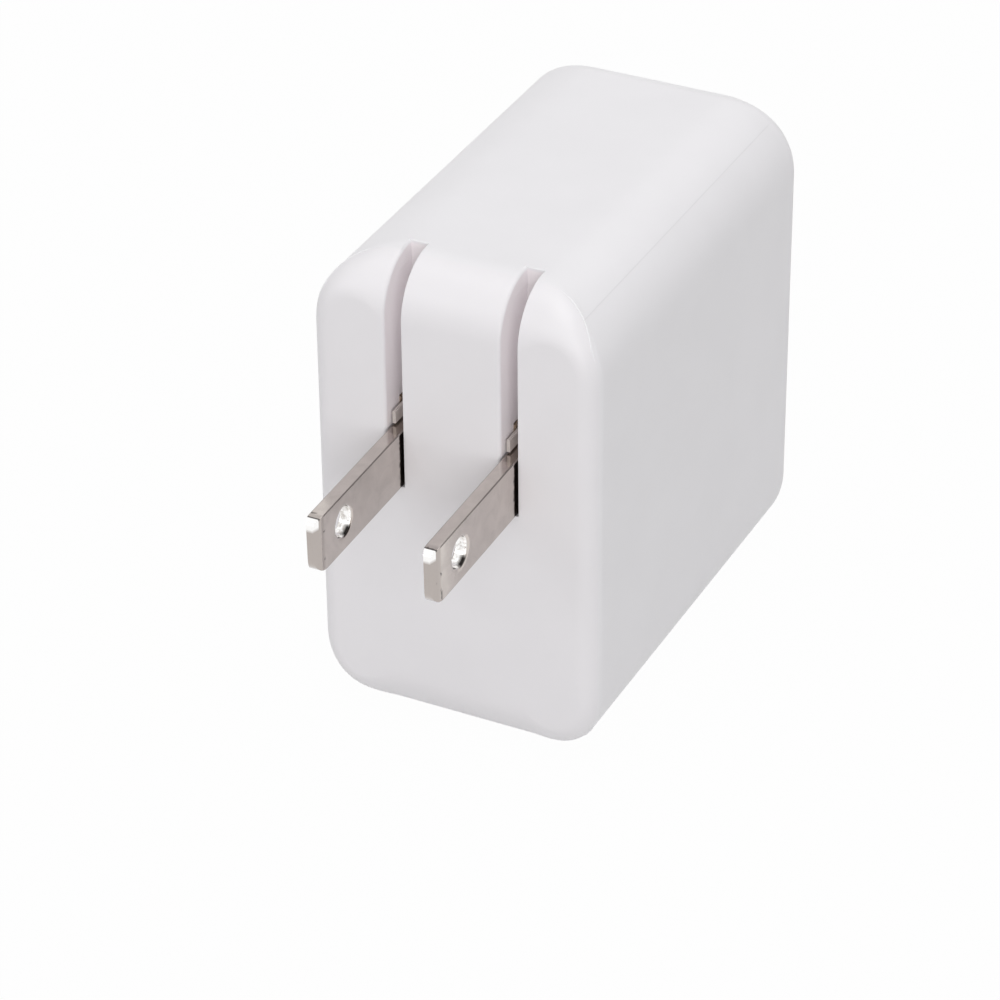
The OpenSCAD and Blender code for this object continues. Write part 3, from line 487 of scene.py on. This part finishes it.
# What makes each slot's material, and what it is given
FINISHES = {
    "shell_plastic": (white_plastic, (0.93, 0.916, 0.938), True),
    "cover_plastic": (white_plastic, (0.93, 0.909, 0.932), False),
    "nickel": (nickel, (0.62, 0.565, 0.53), (0.53, 0.48, 0.45), 0.08),
    "holder_plastic": (speckled, (0.03, 0.03, 0.032), (0.05, 0.05, 0.052), 2, 0.5, 0.15, 0.006),
    "retainer_plastic": (speckled, (0.55, 0.54, 0.5), (0.62, 0.61, 0.57), 3, 0.5, 0.15, 0.006),
    "spring_steel": (drawn_metal, (0.5, 0.5, 0.52), (0.42, 0.43, 0.46), 0.28, (1, 1, 0.08)),
    "screw_steel": (drawn_metal, (0.56, 0.55, 0.54), (0.45, 0.45, 0.45), 0.32, (1, 1, 1)),
    "bronze": (drawn_metal, (0.5, 0.41, 0.32), (0.4, 0.33, 0.26), 0.3, (1, 0.08, 1)),
    "board": (circuit_board,),
    "port_steel": (drawn_metal, (0.66, 0.64, 0.61), (0.56, 0.54, 0.52), 0.22, (1, 0.06, 1)),
    "black_plastic": (black_plastic,),
    "white_plastic": (speckled, (0.76, 0.75, 0.72), (0.82, 0.81, 0.78), 2, 0.42, 0.12, 0.004),
    "gold": (speckled, (0.95, 0.68, 0.3), (0.86, 0.6, 0.26), 0.8, 0.22, 0.08, 0.002, 1.0),
    "ferrite": (speckled, (0.03, 0.032, 0.034), (0.055, 0.056, 0.06), 0.7, 0.6, 0.1, 0.02),
    "copper": (windings, (0.36, 0.12, 0.04), (0.72, 0.3, 0.12), 0.5, "X"),
    "tape": (windings, (0.6, 0.45, 0.08), (0.75, 0.6, 0.16), 2.5, "X"),
    "capacitor_sleeve": (speckled, (0.012, 0.018, 0.04), (0.02, 0.028, 0.06), 4, 0.3, 0.5, 0.01),
    "film_cap": (speckled, (0.55, 0.42, 0.1), (0.65, 0.52, 0.16), 3, 0.42, 0.3, 0.01),
    "blue_epoxy": (speckled, (0.02, 0.12, 0.42), (0.03, 0.17, 0.52), 2, 0.35, 0.6, 0.02),
    "can_aluminium": (drawn_metal, (0.74, 0.74, 0.75), (0.64, 0.64, 0.66), 0.28, (1, 0.1, 1)),
    "heat_aluminium": (drawn_metal, (0.7, 0.71, 0.72), (0.6, 0.61, 0.63), 0.38, (1, 0.06, 1)),
    "thermal": (speckled, (0.5, 0.3, 0.34), (0.6, 0.38, 0.42), 1.2, 0.75, 0.2, 0.02),
    "sheet": (speckled, (0.74, 0.68, 0.52), (0.8, 0.75, 0.6), 4, 0.35, 0.8, 0.006),
}
M = {name: make(name, *values) for name, (make, *values) in FINISHES.items()}

for part in frame["record"]["subparts"]:
    for holder in frame["nodes"][part["node"]].material_slots:
        holder.material = M[part["material_slot"]]


# ---------- mesh building, in mm ----------
# How far tools reach past what they cut
OVER = 1


def mesh_object(name, verts, faces):
    mesh = bpy.data.meshes.new(name)
    mesh.from_pydata([Vector(v) for v in verts], [], faces)
    obj = bpy.data.objects.new(name, mesh)
    bpy.context.scene.collection.objects.link(obj)
    return obj


@contextlib.contextmanager
def edited(mesh):
    """Opens a mesh for bmesh operators, and writes it back."""
    bm = bmesh.new()
    bm.from_mesh(mesh)
    yield bm
    bm.to_mesh(mesh)
    bm.free()


def loft(loops, name="tool"):
    """Skins loops of the same length, and closes both ends."""
    n = len(loops[0])
    verts = [v for loop in loops for v in loop]
    faces = []
    for i in range(len(loops) - 1):
        a, b = i * n, (i + 1) * n
        for k in range(n):
            j = (k + 1) % n
            faces.append((a + k, a + j, b + j, b + k))
    faces.append(tuple(reversed(range(n))))
    faces.append(tuple(range(len(verts) - n, len(verts))))
    obj = mesh_object(name, verts, faces)
    with edited(obj.data) as bm:
        bmesh.ops.recalc_face_normals(bm, faces=bm.faces)
    return obj


def quarter(steps):
    """Points of a rounded edge of radius 1, as distances from its two flat sides."""
    turns = (QUARTER * i / steps for i in range(steps + 1))
    return [(1 - math.sin(a), 1 - math.cos(a)) for a in turns]


def rounded_loop(w, h, r, steps):
    """Points of a rounded rectangle centred on the origin."""
    pts = []
    for cx, cz, start in ((1, 1, 0), (-1, 1, 90), (-1, -1, 180), (1, -1, 270)):
        for i in range(steps + 1):
            a = math.radians(start + 90 * i / steps)
            pts.append((cx * (w / 2 - r) + r * math.cos(a), cz * (h / 2 - r) + r * math.sin(a)))
    return pts


def circle(cy, cz, r, steps):
    turns = (2 * math.pi * i / steps for i in range(steps))
    return [(cy + r * math.cos(a), cz + r * math.sin(a)) for a in turns]


def arc(cy, cz, r, start, stop, steps):
    turns = (math.radians(start + (stop - start) * i / steps) for i in range(steps + 1))
    return [(cy + r * math.cos(a), cz + r * math.sin(a)) for a in turns]


def offset_loop(pts, inset):
    """Moves a closed outline inwards; the outline runs anticlockwise."""
    n, out = len(pts), []
    for i in range(n):
        a, b, c = (Vector(pts[k % n]) for k in (i - 1, i, i + 1))
        d1, d2 = (b - a).normalized(), (c - b).normalized()
        n1, n2 = Vector((-d1.y, d1.x)), Vector((-d2.y, d2.x))
        mid = (n1 + n2).normalized()
        out.append(tuple(b + mid * (inset / max(0.3, mid.dot(n1)))))
    return out


def prism_y(outline, y0, y1, z0=0.0):
    return loft([[(x, y, z + z0) for x, z in outline] for y in (y0, y1)])


def prism_x(outline, x0, x1):
    return loft([[(x, y, z) for y, z in outline] for x in (x0, x1)])


def box_mm(p, q):
    outline = [(p[1], p[2]), (q[1], p[2]), (q[1], q[2]), (p[1], q[2])]
    return prism_x(outline, p[0], q[0])


def rod_x(x0, x1, y, z, r, steps=48):
    return prism_x(circle(y, z, r, steps), x0, x1)


def rod_y(y0, y1, x, z, r, steps=32):
    return prism_y(circle(x, z, r, steps), y0, y1)


def apply_modifiers(obj):
    """Puts what the modifiers make in place of the object's mesh."""
    deps = bpy.context.evaluated_depsgraph_get()
    result = bpy.data.meshes.new_from_object(obj.evaluated_get(deps))
    old = obj.data
    obj.modifiers.clear()
    obj.data = result
    bpy.data.meshes.remove(old)


def drop(obj):
    mesh = obj.data
    bpy.data.objects.remove(obj)
    bpy.data.meshes.remove(mesh)


def carve(obj, tool, operation="DIFFERENCE"):
    """Exact boolean; the tool is used up."""
    mod = obj.modifiers.new("carve", "BOOLEAN")
    mod.object = tool
    mod.operation = operation
    mod.solver = "EXACT"
    apply_modifiers(obj)
    drop(tool)


def join(obj, other):
    """Adds another closed mesh to the same piece."""
    with edited(obj.data) as bm:
        bm.from_mesh(other.data)
    drop(other)


# ---------- outer skin of the housing ----------
FRONT_POWER = math.log((FRONT_CORNER_R - FRONT_SIDE_R) / (FRONT_LEVEL_R - FRONT_SIDE_R)) / math.log(0.5)


def eased(turn):
    """Share from 0 to 1 over a right angle, level at both ends."""
    t = turn / QUARTER
    return t * t * (3 - 2 * t)


def front_radius(turn):
    """Radius of the blade face's edge at an angle round a corner: 0 is upright, a right angle level."""
    s = eased(turn)
    return FRONT_SIDE_R + (FRONT_LEVEL_R - FRONT_SIDE_R) * s ** FRONT_POWER if s > 0 else FRONT_SIDE_R


def back_radius(turn):
    """The same for the port face."""
    s = eased(turn)
    return BACK_SIDE_R + (BACK_LEVEL_R - BACK_SIDE_R) * s * s


def outline_point(sx, sz, turn):
    """Point of the housing's outline in (x, z) at an angle round one corner, and the way out from it."""
    n = (sx * math.cos(turn), sz * math.sin(turn))
    o = (sx * (HALF_W - LONG_R) + LONG_R * n[0], HALF_H + sz * (HALF_H - LONG_R) + LONG_R * n[1])
    return o, n


def outer_skin(corner_steps=28, front_steps=16, back_steps=12):
    """Closed outer form: one ring of points for each step round the two end edges."""
    spokes = []
    for sx, sz in ((1, 1), (-1, 1), (-1, -1), (1, -1)):
        for i in range(corner_steps + 1):
            turn = QUARTER * i / corner_steps
            if sx * sz < 0:
                turn = QUARTER - turn
            spokes.append((*outline_point(sx, sz, turn), front_radius(turn), back_radius(turn)))
    rows = []
    for steps, sign, base in ((front_steps, 1, FACE_Y), (back_steps, -1, BACK_Y)):
        part = []
        for across, along in quarter(steps):
            ring = []
            for o, n, front_r, back_r in spokes:
                r = front_r if sign > 0 else back_r
                inset = r * across
                ring.append((o[0] - n[0] * inset, base + sign * r * along, o[1] - n[1] * inset))
            part.append(ring)
        rows += part if sign > 0 else part[::-1]
    obj = loft(rows)
    with edited(obj.data) as bm:
        bmesh.ops.triangulate(bm, faces=[f for f in bm.faces if len(f.verts) == 4])
    return obj


def skin_normal(p):
    """Depth of a point under the outer skin, and the skin's normal there."""
    x, y, z = p[0], p[1], p[2] - HALF_H
    sx, sz = (1 if x >= 0 else -1), (1 if z >= 0 else -1)
    u, v = abs(x) - (HALF_W - LONG_R), abs(z) - (HALF_H - LONG_R)
    in_corner = u > 0 and v > 0
    if in_corner:
        turn, out = math.atan2(v, u), math.hypot(u, v)
    elif u > v:
        turn, out = 0.0, u
    else:
        turn, out = QUARTER, v
    inset = LONG_R - out
    front = y < (FACE_Y + BACK_Y) / 2
    radius = front_radius if front else back_radius
    r = radius(turn)
    depth = (y - FACE_Y) if front else (BACK_Y - y)
    n = Vector((math.cos(turn) * sx, 0, math.sin(turn) * sz))
    end = Vector((0, -1 if front else 1, 0))
    if depth >= r:
        return inset, n
    if inset >= r:
        return depth, end
    a, b = r - depth, r - inset
    away = r - math.hypot(a, b)
    theta = math.atan2(b, a)
    normal = n * math.sin(theta) + end * math.cos(theta)
    if in_corner:
        # the edge radius changes round the corner, which leans the skin along it
        tangent = Vector((-math.sin(turn) * sx, 0, math.cos(turn) * sz))
        h = 1e-4
        slope = (radius(min(QUARTER, turn + h)) - radius(max(0.0, turn - h))) / (2 * h)
        sin, cos = math.sin(theta), math.cos(theta)
        lean = slope * (sin * (1 - sin) + cos * (1 - cos))
        normal += tangent * (lean / max(0.5, LONG_R - r * (1 - sin)))
    return away, normal.normalized()


# ---------- slots ----------
# The front outline is measured from this height
PROFILE_LOW = 20.0
PROFILE_STRAIGHT = BODY_H - FRONT_LEVEL_R - PROFILE_LOW
PROFILE_BEND = QUARTER * FRONT_LEVEL_R
# How far the tool for a slot's mouth reaches into the slot, and how deep
MOUTH_IN, MOUTH_DEEP = 0.06, 0.9


def profile(s):
    """Point and outward normal, in (y, z), at a distance s along the front outline, going up."""
    r = FRONT_LEVEL_R
    if s < PROFILE_STRAIGHT:
        return (FACE_Y, PROFILE_LOW + s), (-1.0, 0.0)
    a = (s - PROFILE_STRAIGHT) / r
    if a < QUARTER:
        return (FACE_Y + r - r * math.cos(a), BODY_H - r + r * math.sin(a)), (-math.cos(a), math.sin(a))
    return (FACE_Y + r + (a - QUARTER) * r, BODY_H), (0.0, 1.0)


def slot_mouth(x, steps=16):
    """Tool that rounds the long edges of a slot: softly on its -X side, slightly on its +X side."""
    low, high = x - SLOT_W / 2, x + SLOT_W / 2
    left, right = SLOT_SOFT_LEFT, SLOT_SOFT_RIGHT
    edge = quarter(6)
    above_skin = [(high + right * 1.3, -0.03), (low - left * 1.26, -0.05)]
    section = [(high - MOUTH_IN, MOUTH_DEEP)]
    section += [(high + right * across, right * down) for across, down in reversed(edge)]
    section += above_skin
    section += [(low - left * across, left * down) for across, down in edge]
    section.append((low + MOUTH_IN, MOUTH_DEEP))
    stops = [SLOT_LOW - PROFILE_LOW, PROFILE_STRAIGHT * 0.7]
    stops += [PROFILE_STRAIGHT + PROFILE_BEND * k / steps for k in range(steps + 1)]
    stops.append(PROFILE_STRAIGHT + PROFILE_BEND + SLOT_BACK - FACE_Y - FRONT_LEVEL_R)
    loops = []
    for s in stops:
        (y, z), (ny, nz) = profile(s)
        loops.append([(px, y - ny * d, z - nz * d) for px, d in section])
    return loft(loops)


def slot_end(x):
    """Tool that breaks the edge of a slot's end wall on the top."""
    r, front = SLOT_SOFT_END, SLOT_BACK - 0.3
    pts = [(front, BODY_H - r), (front, BODY_H + 0.3), (SLOT_BACK + r * 1.5, BODY_H + 0.03)]
    pts += [(SLOT_BACK + r * across, BODY_H - r * down) for across, down in quarter(4)]
    return prism_x(pts, x - SLOT_W / 2, x + SLOT_W / 2)


def cut_slots(obj):
    for x in (-BLADE_X, BLADE_X):
        low, high = x - SLOT_W / 2, x + SLOT_W / 2
        carve(obj, box_mm((low, FACE_Y - OVER, SLOT_LOW), (high, SLOT_BACK, BODY_H + OVER)))
        carve(obj, slot_mouth(x))
        carve(obj, slot_end(x))


# ---------- seam between cover and shell ----------
# How far the foot of the shell's raised edge lies under the skin
EDGE_SUNK = 0.012


def seam_depth(z):
    """Distance of the seam behind the blade face at a height."""
    d = min(z, BODY_H - z)
    if d >= FRONT_LEVEL_R:
        return COVER_T
    if d >= TURN_D:
        return FRONT_LEVEL_R - math.sqrt(SEAM_R ** 2 - (FRONT_LEVEL_R - d) ** 2)
    return TURN_Y + (TURN_D - d) * LEAN


def behind_seam(steps=12):
    """Tool for everything behind the seam."""
    arc_d = [FRONT_LEVEL_R - SEAM_R * math.sin(SEAM_TURN * k / steps) for k in range(steps + 1)]
    top = [(FACE_Y + seam_depth(d), BODY_H - d) for d in arc_d]
    top += [(FACE_Y + seam_depth(-OVER), BODY_H + OVER), (BACK_Y + 2 * OVER, BODY_H + OVER)]
    return prism_x(top + [(y, BODY_H - z) for y, z in reversed(top)], -BODY_W, BODY_W)


def seam_line(steps=40, halvings=40):
    """Points of the seam on the skin, from one slot round under the housing to the other slot."""
    spokes = []
    for sx, sz in ((1, 1), (1, -1), (-1, -1), (-1, 1)):
        corner = [QUARTER * (1 - i / steps) for i in range(steps + 1)]
        for turn in corner if sx * sz > 0 else corner[::-1]:
            spokes.append((sx, sz, turn))
    line = []
    for sx, sz, turn in spokes:
        o, n = outline_point(sx, sz, turn)
        r, low, high = front_radius(turn), 0.0, QUARTER
        for _ in range(halvings):
            theta = (low + high) / 2
            z = o[1] - n[1] * r * (1 - math.sin(theta))
            in_front = r * (1 - math.cos(theta)) < seam_depth(z)
            low, high = (theta, high) if in_front else (low, theta)
        inset = r * (1 - math.sin(theta))
        spot = Vector((o[0] - n[0] * inset, FACE_Y + seam_depth(z), o[1] - n[1] * inset))
        line.append((spot, math.sin(2 * turn)))
    return line


def seam_edge(faint=0.12):
    """The shell's raised front edge: steep in front, falling away behind, full at the corners."""
    line, loops = seam_line(), []
    for i, (spot, share) in enumerate(line):
        along = (line[min(i + 1, len(line) - 1)][0] - line[max(i - 1, 0)][0]).normalized()
        out = skin_normal(spot)[1]
        back = along.cross(out).normalized()
        if back.y < 0:
            back = -back
        s = max(faint, min(1.0, (share - 0.45) / 0.4))
        # (back, out) from the seam: the front grows with the share of the full height, the rest stays
        section = [(-0.08 * s, -EDGE_SUNK), (-0.03 * s, 0.05 * s), (0.02 * s, 0.058 * s),
                   (0.5, -EDGE_SUNK), (0.2, -0.12), (-0.05, -0.1)]
        loops.append([tuple(spot + back * a + out * b) for a, b in section])
    return loft(loops)


# ---------- finishing of the meshes ----------
SHARP_ANGLE = math.radians(16.5)
MERGE = 1e-4
# A face gets the skin's own normals if its corners lie this near the skin and it faces that way
SKIN_NEAR, SKIN_FACING = 0.012, 0.93


def finish_mesh(obj, custom=None):
    """Smooth shading with area weights, then exact normals on the outer skin."""
    mesh = obj.data
    with edited(mesh) as bm:
        bmesh.ops.remove_doubles(bm, verts=bm.verts, dist=MERGE)
        bmesh.ops.dissolve_degenerate(bm, edges=bm.edges, dist=MERGE)
    mesh.polygons.foreach_set("use_smooth", [True] * len(mesh.polygons))
    mesh.set_sharp_from_angle(angle=SHARP_ANGLE)
    mod = obj.modifiers.new("weight", "WEIGHTED_NORMAL")
    mod.keep_sharp = True
    mod.weight = 90
    apply_modifiers(obj)
    mesh = obj.data
    if custom:
        normals = [Vector(c.vector) for c in mesh.corner_normals]
        for poly in mesh.polygons:
            found = [custom(mesh.vertices[v].co) for v in poly.vertices]
            near = max(abs(d) for d, n in found) < SKIN_NEAR
            if near and custom(poly.center)[1].dot(poly.normal) > SKIN_FACING:
                for loop, (d, n) in zip(poly.loop_indices, found):
                    normals[loop] = n
        mesh.normals_split_custom_set(normals)
    mesh.transform(Matrix.Scale(MM, 4))


def dress(obj, name, slot_name, body, *nodes):
    obj.name = name
    obj.data.name = name
    obj.data.materials.clear()
    obj.data.materials.append(M[slot_name])
    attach(obj, body)
    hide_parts(*nodes)


# ---------- main shell ----------
def cavity(gap, y0, y1, steps=16):
    """Tool for the inside of the shell, drawn in by a gap."""
    outline = rounded_loop(CAV_W - 2 * gap, CAV_H - 2 * gap, CAV_R - gap, steps)
    return prism_y(outline, y0, y1, HALF_H)


def port_cut(w, h, r, z, steps=6):
    """Tool for a port's opening, with a rounded edge at the port face."""
    rows = [(0, BACK_Y - WALL - OVER), (0, BACK_Y - PORT_SOFT)]
    for i in range(1, steps + 1):
        a = QUARTER * i / steps
        rows.append((PORT_SOFT * (1 - math.cos(a)), BACK_Y - PORT_SOFT + PORT_SOFT * math.sin(a)))
    rows.append((PORT_SOFT * 1.3, BACK_Y + 0.04))
    loops = []
    for grow, y in rows:
        outline = rounded_loop(w + 2 * grow, h + 2 * grow, r + grow, 10)
        loops.append([(x, y, pz + z) for x, pz in outline])
    return loft(loops)


def board_rails(obj):
    """Two grooved rails that hold the edges of the main board."""
    for upper, (low, high) in enumerate(GROOVES_Z):
        outline = [(x, BODY_H - z if upper else z) for x, z in RAIL]
        carve(obj, prism_y(outline, FACE_Y + LIP_END + OVER, BACK_Y - WALL + RAIL_IN), "UNION")
        carve(obj, box_mm((GROOVE_X[0], FACE_Y, low), (GROOVE_X[1], BACK_Y - WALL, high)))


def build_main_shell():
    obj = outer_skin()
    carve(obj, behind_seam(), "INTERSECT")
    carve(obj, cavity(0, FACE_Y - 2 * OVER, BACK_Y - WALL))
    board_rails(obj)
    cut_slots(obj)
    for w, h, r, z in PORTS:
        carve(obj, port_cut(w + 2 * PORT_GAP, h + 2 * PORT_GAP, r, z))
    join(obj, seam_edge())
    finish_mesh(obj, custom=skin_normal)
    dress(obj, "main_shell_skin", "shell_plastic", "housing", "main_shell")


# ---------- front cover ----------
# What stands on the cover's back starts inside it, each a little differently, so no faces coincide
BITE = 0.02
COVER_IN = FACE_Y + COVER_T - BITE
POCKET_IN, BEARING_FROM, BOSS_FROM = COVER_IN + 0.01, COVER_IN + 0.005, COVER_IN + 0.015


def under_front_edge():
    """Tool that keeps what stands on the back of the cover inside the front radius."""
    far = FACE_Y + LIP_END + OVER
    r = FRONT_LEVEL_R - EDGE_SKIN
    top = arc(FACE_Y + EDGE_SKIN + r, BODY_H - EDGE_SKIN - r, r, 180, 90, 16)
    ends = [(far, BODY_H - EDGE_SKIN), (far, EDGE_SKIN)]
    return prism_x(top + ends + [(y, BODY_H - z) for y, z in reversed(top)], -HALF_W, HALF_W)


def cover_lip():
    lip = cavity(LIP_GAP, COVER_IN, FACE_Y + LIP_END)
    carve(lip, cavity(LIP_GAP + LIP_T, FACE_Y - OVER, FACE_Y + LIP_END + OVER))
    carve(lip, under_front_edge(), "INTERSECT")
    return lip


def blade_pocket(x):
    """Walls round the space a blade folds into, open behind the pivot on the side of its contact ear."""
    wide, top = SLOT_W / 2 + POCKET_T, BODY_H - WALL - BITE
    pocket = box_mm((x - wide, POCKET_IN, PIVOT_Z + POCKET_RISE), (x + wide, SLOT_BACK + POCKET_T, top))
    carve(pocket, rod_x(x - SLOT_W / 2, x + SLOT_W / 2, PIVOT_Y, PIVOT_Z, SWEEP_R))
    far = SLOT_BACK + 2 * OVER
    carve(pocket, box_mm((x - wide - OVER, PIVOT_Y, PIVOT_Z), (x, far, PIVOT_Z + SWEEP_R)))
    carve(pocket, under_front_edge(), "INTERSECT")
    return pocket


def build_front_cover():
    obj = outer_skin()
    carve(obj, behind_seam())
    carve(obj, cover_lip(), "UNION")
    for x in (-BLADE_X, BLADE_X):
        carve(obj, blade_pocket(x), "UNION")
    screw_z = PIVOT_Z - SCREW_DROP
    for s in (-1, 1):
        x0, x1 = sorted((s * BEARING_IN, s * BEARING_OUT))
        bearing = box_mm((x0, BEARING_FROM, PIVOT_Z - BEARING_H), (x1, PIVOT_Y, PIVOT_Z + BEARING_H))
        carve(obj, bearing, "UNION")
        carve(obj, rod_y(BOSS_FROM, PIVOT_Y + BOSS_BACK, s * SCREW_X, screw_z, BOSS_R), "UNION")
    cut_slots(obj)
    carve(obj, rod_x(-BEARING_IN, BEARING_IN, PIVOT_Y, PIVOT_Z, BARREL_BORE_R))
    carve(obj, rod_x(-JOURNAL_END - OVER, JOURNAL_END + OVER, PIVOT_Y, PIVOT_Z, JOURNAL_BORE_R))
    for s in (-1, 1):
        carve(obj, rod_y(FACE_Y + COVER_T, PIVOT_Y + BOSS_BACK + OVER, s * SCREW_X, screw_z, SCREW_R))
    finish_mesh(obj, custom=skin_normal)
    dress(obj, "front_cover_skin", "cover_plastic", "housing", "front_cover")


# ---------- blades ----------
# Half the width and height of the tools that cut through a blade
TOOL_X, TOOL_Z = 2, 9
# Radii of the contact ear's two upper corners, and how far its foot reaches down the blade
EAR_BACK_R, EAR_FRONT_R, EAR_FOOT = 0.12, 0.08, 1.2
# Its rounded edges, as (distance from the flat side, inset)
EAR_SOFT = ((0, 0.05), (0.015, 0.015), (0.05, 0))


def contact_ear(half):
    """Thin tab on the blade's -X side, with a relief slit under it, in the blade's own frame."""
    y0 = EAR_DEPTH - PIVOT_DEPTH
    y1, top, slit = y0 + EAR_L, half + EAR_H, half + SLIT_W
    outline = [(y1 - EAR_NECK, half - EAR_FOOT), (y1, half - EAR_FOOT)]
    outline += arc(y1 - EAR_BACK_R, top - EAR_BACK_R, EAR_BACK_R, 0, 90, 3)
    outline += arc(y0 + EAR_FRONT_R, top - EAR_FRONT_R, EAR_FRONT_R, 90, 180, 3)
    outline += [(y0, slit), (y1 - EAR_NECK, slit)]
    low, high = -BLADE_T / 2 + 0.004, -BLADE_T / 2 + EAR_T
    rows = [(low + a, inset) for a, inset in EAR_SOFT]
    rows += [(high - a, inset) for a, inset in reversed(EAR_SOFT)]
    return loft([[(x, y, z) for y, z in offset_loop(outline, inset)] for x, inset in rows])


def blade_plate(half, tip):
    """The plate itself, with all its edges a little rounded."""
    pts = arc(tip + TIP_LOW_R, -half + TIP_LOW_R, TIP_LOW_R, 180, 270, 14)
    pts += arc(0, 0, half, -90, 90, 36)
    pts += arc(tip + TIP_R, half - TIP_R, TIP_R, 90, 180, 8)
    rows = [(BLADE_T / 2 - BLADE_SOFT * out, BLADE_SOFT * across) for across, out in quarter(6)]
    rows = [(-x, inset) for x, inset in rows] + rows[::-1]
    return loft([[(x, y, z) for y, z in offset_loop(pts, inset)] for x, inset in rows])


def tip_bevel(sign, tip):
    """Tool for the slightly rounded bevel on one side of the tip."""
    before, after = tip - 0.3, tip + BEVEL_L * 1.6
    cuts = ((before, BEVEL_D * 1.23), (tip + BEVEL_L * 0.75, BEVEL_D * 0.2),
            (tip + BEVEL_L * 1.2, 0.0), (after, -0.02))
    outline = [(sign * (BLADE_T / 2 - cut), y) for y, cut in cuts]
    outline += [(sign * TOOL_X, after), (sign * TOOL_X, before)]
    return loft([[(x, y, z) for x, y in outline] for z in (-TOOL_Z, TOOL_Z)])


def coined_hole(y):
    """Tool for the hole, with the rounded rim on both sides."""
    rows = [(-BLADE_T / 2 - 0.06, HOLE_R + RIM_W * 1.3)]
    rows += [(-BLADE_T / 2 + RIM_D * out, HOLE_R + RIM_W * across) for across, out in quarter(8)]
    rows += [(-x, r) for x, r in reversed(rows)]
    return loft([[(x, py, pz) for py, pz in circle(y, 0, r, 64)] for x, r in rows])


def build_blade(side):
    """One blade, built level about its pivot, then hung at its droop and put in place."""
    half, tip = BLADE_W / 2, -(PIVOT_DEPTH + BLADE_OUT)
    obj = blade_plate(half, tip)
    carve(obj, contact_ear(half), "UNION")
    for sign in (-1, 1):
        carve(obj, tip_bevel(sign, tip))
    carve(obj, coined_hole(tip + HOLE_TO_TIP))
    carve(obj, rod_x(-TOOL_X, TOOL_X, 0, 0, BLADE_BORE_R))
    place = Matrix.Translation((side * BLADE_X, PIVOT_Y, PIVOT_Z))
    obj.data.transform(place @ Matrix.Rotation(DROOP, 4, "X"))
    finish_mesh(obj)
    label = "right" if side > 0 else "left"
    dress(obj, label + "_blade_plate", "nickel", "folding_blades", label + "_blade")


build_main_shell()
build_front_cover()
build_blade(-1)
build_blade(1)


# ---------- floor, world and lamps ----------
FLOOR_HALF = 4
LAMP_AWAY, LAMP_AIM_Z = 1.1, 0.03
# Name, where the light comes from, power in W and side in m
LAMPS = (
    ("overhead", (0, 0, 1), 4.7, 0.8),
    ("key", (0.48, -0.84, 0.26), 4.4, 0.8),
    ("side_fill", (1, 0, 0.26), 0.9, 0.8),
    ("front_left", (-0.38, -0.76, 0.52), 0.6, 0.28),
    ("left_fill", (-0.8, -0.6, 0.15), 1.5, 0.8),
    ("back_fill", (0, 0.7, 0.7), 1.2, 0.8),
)


def white_to_camera(tree, surface, lift):
    """Adds light for camera, glossy and transmission rays only, so that the background shows white."""
    path = tree.nodes.new("ShaderNodeLightPath")
    seen = math_node(tree, "MAXIMUM", path.outputs["Is Camera Ray"], path.outputs["Is Glossy Ray"])
    seen = math_node(tree, "MAXIMUM", seen, path.outputs["Is Transmission Ray"])
    glow = tree.nodes.new("ShaderNodeEmission")
    glow.inputs["Strength"].default_value = 1.0
    mix = tree.nodes.new("ShaderNodeMixShader")
    tree.links.new(math_node(tree, "MULTIPLY", seen, lift), mix.inputs["Fac"])
    tree.links.new(surface, mix.inputs[1])
    tree.links.new(glow.outputs["Emission"], mix.inputs[2])
    return mix.outputs["Shader"]


def build_floor():
    h = FLOOR_HALF
    floor = mesh_object("floor", [(-h, -h, 0), (h, -h, 0), (h, h, 0), (-h, h, 0)], [(0, 1, 2, 3)])
    mat = bpy.data.materials.new("floor")
    mat.use_nodes = True
    tree = mat.node_tree
    tree.nodes.clear()
    out = tree.nodes.new("ShaderNodeOutputMaterial")
    paint = tree.nodes.new("ShaderNodeBsdfDiffuse")
    paint.inputs["Color"].default_value = (0.6, 0.6, 0.6, 1)
    tree.links.new(white_to_camera(tree, paint.outputs["BSDF"], 0.98), out.inputs["Surface"])
    floor.data.materials.append(mat)


def build_world(level):
    world = bpy.data.worlds.new("studio")
    bpy.context.scene.world = world
    world.use_nodes = True
    tree = world.node_tree
    tree.nodes.clear()
    out = tree.nodes.new("ShaderNodeOutputWorld")
    sky = tree.nodes.new("ShaderNodeBackground")
    sky.inputs["Color"].default_value = (1, 1, 1, 1)
    sky.inputs["Strength"].default_value = level
    tree.links.new(white_to_camera(tree, sky.outputs["Background"], 1.0), out.inputs["Surface"])


def softbox(name, direction, power, size):
    """Square soft lamp that shines on the object from a direction."""
    away = Vector(direction).normalized()
    data = bpy.data.lights.new(name, "AREA")
    data.shape = "SQUARE"
    data.size = size
    data.energy = power
    lamp = bpy.data.objects.new(name, data)
    spot = away * LAMP_AWAY + Vector((0, 0, LAMP_AIM_Z))
    lamp.matrix_world = Matrix.Translation(spot) @ away.to_track_quat("Z", "Y").to_matrix().to_4x4()
    bpy.context.scene.collection.objects.link(lamp)


build_floor()
build_world(0.3)
for lamp_row in LAMPS:
    softbox(*lamp_row)
bpy.context.scene.view_settings.view_transform = "Standard"
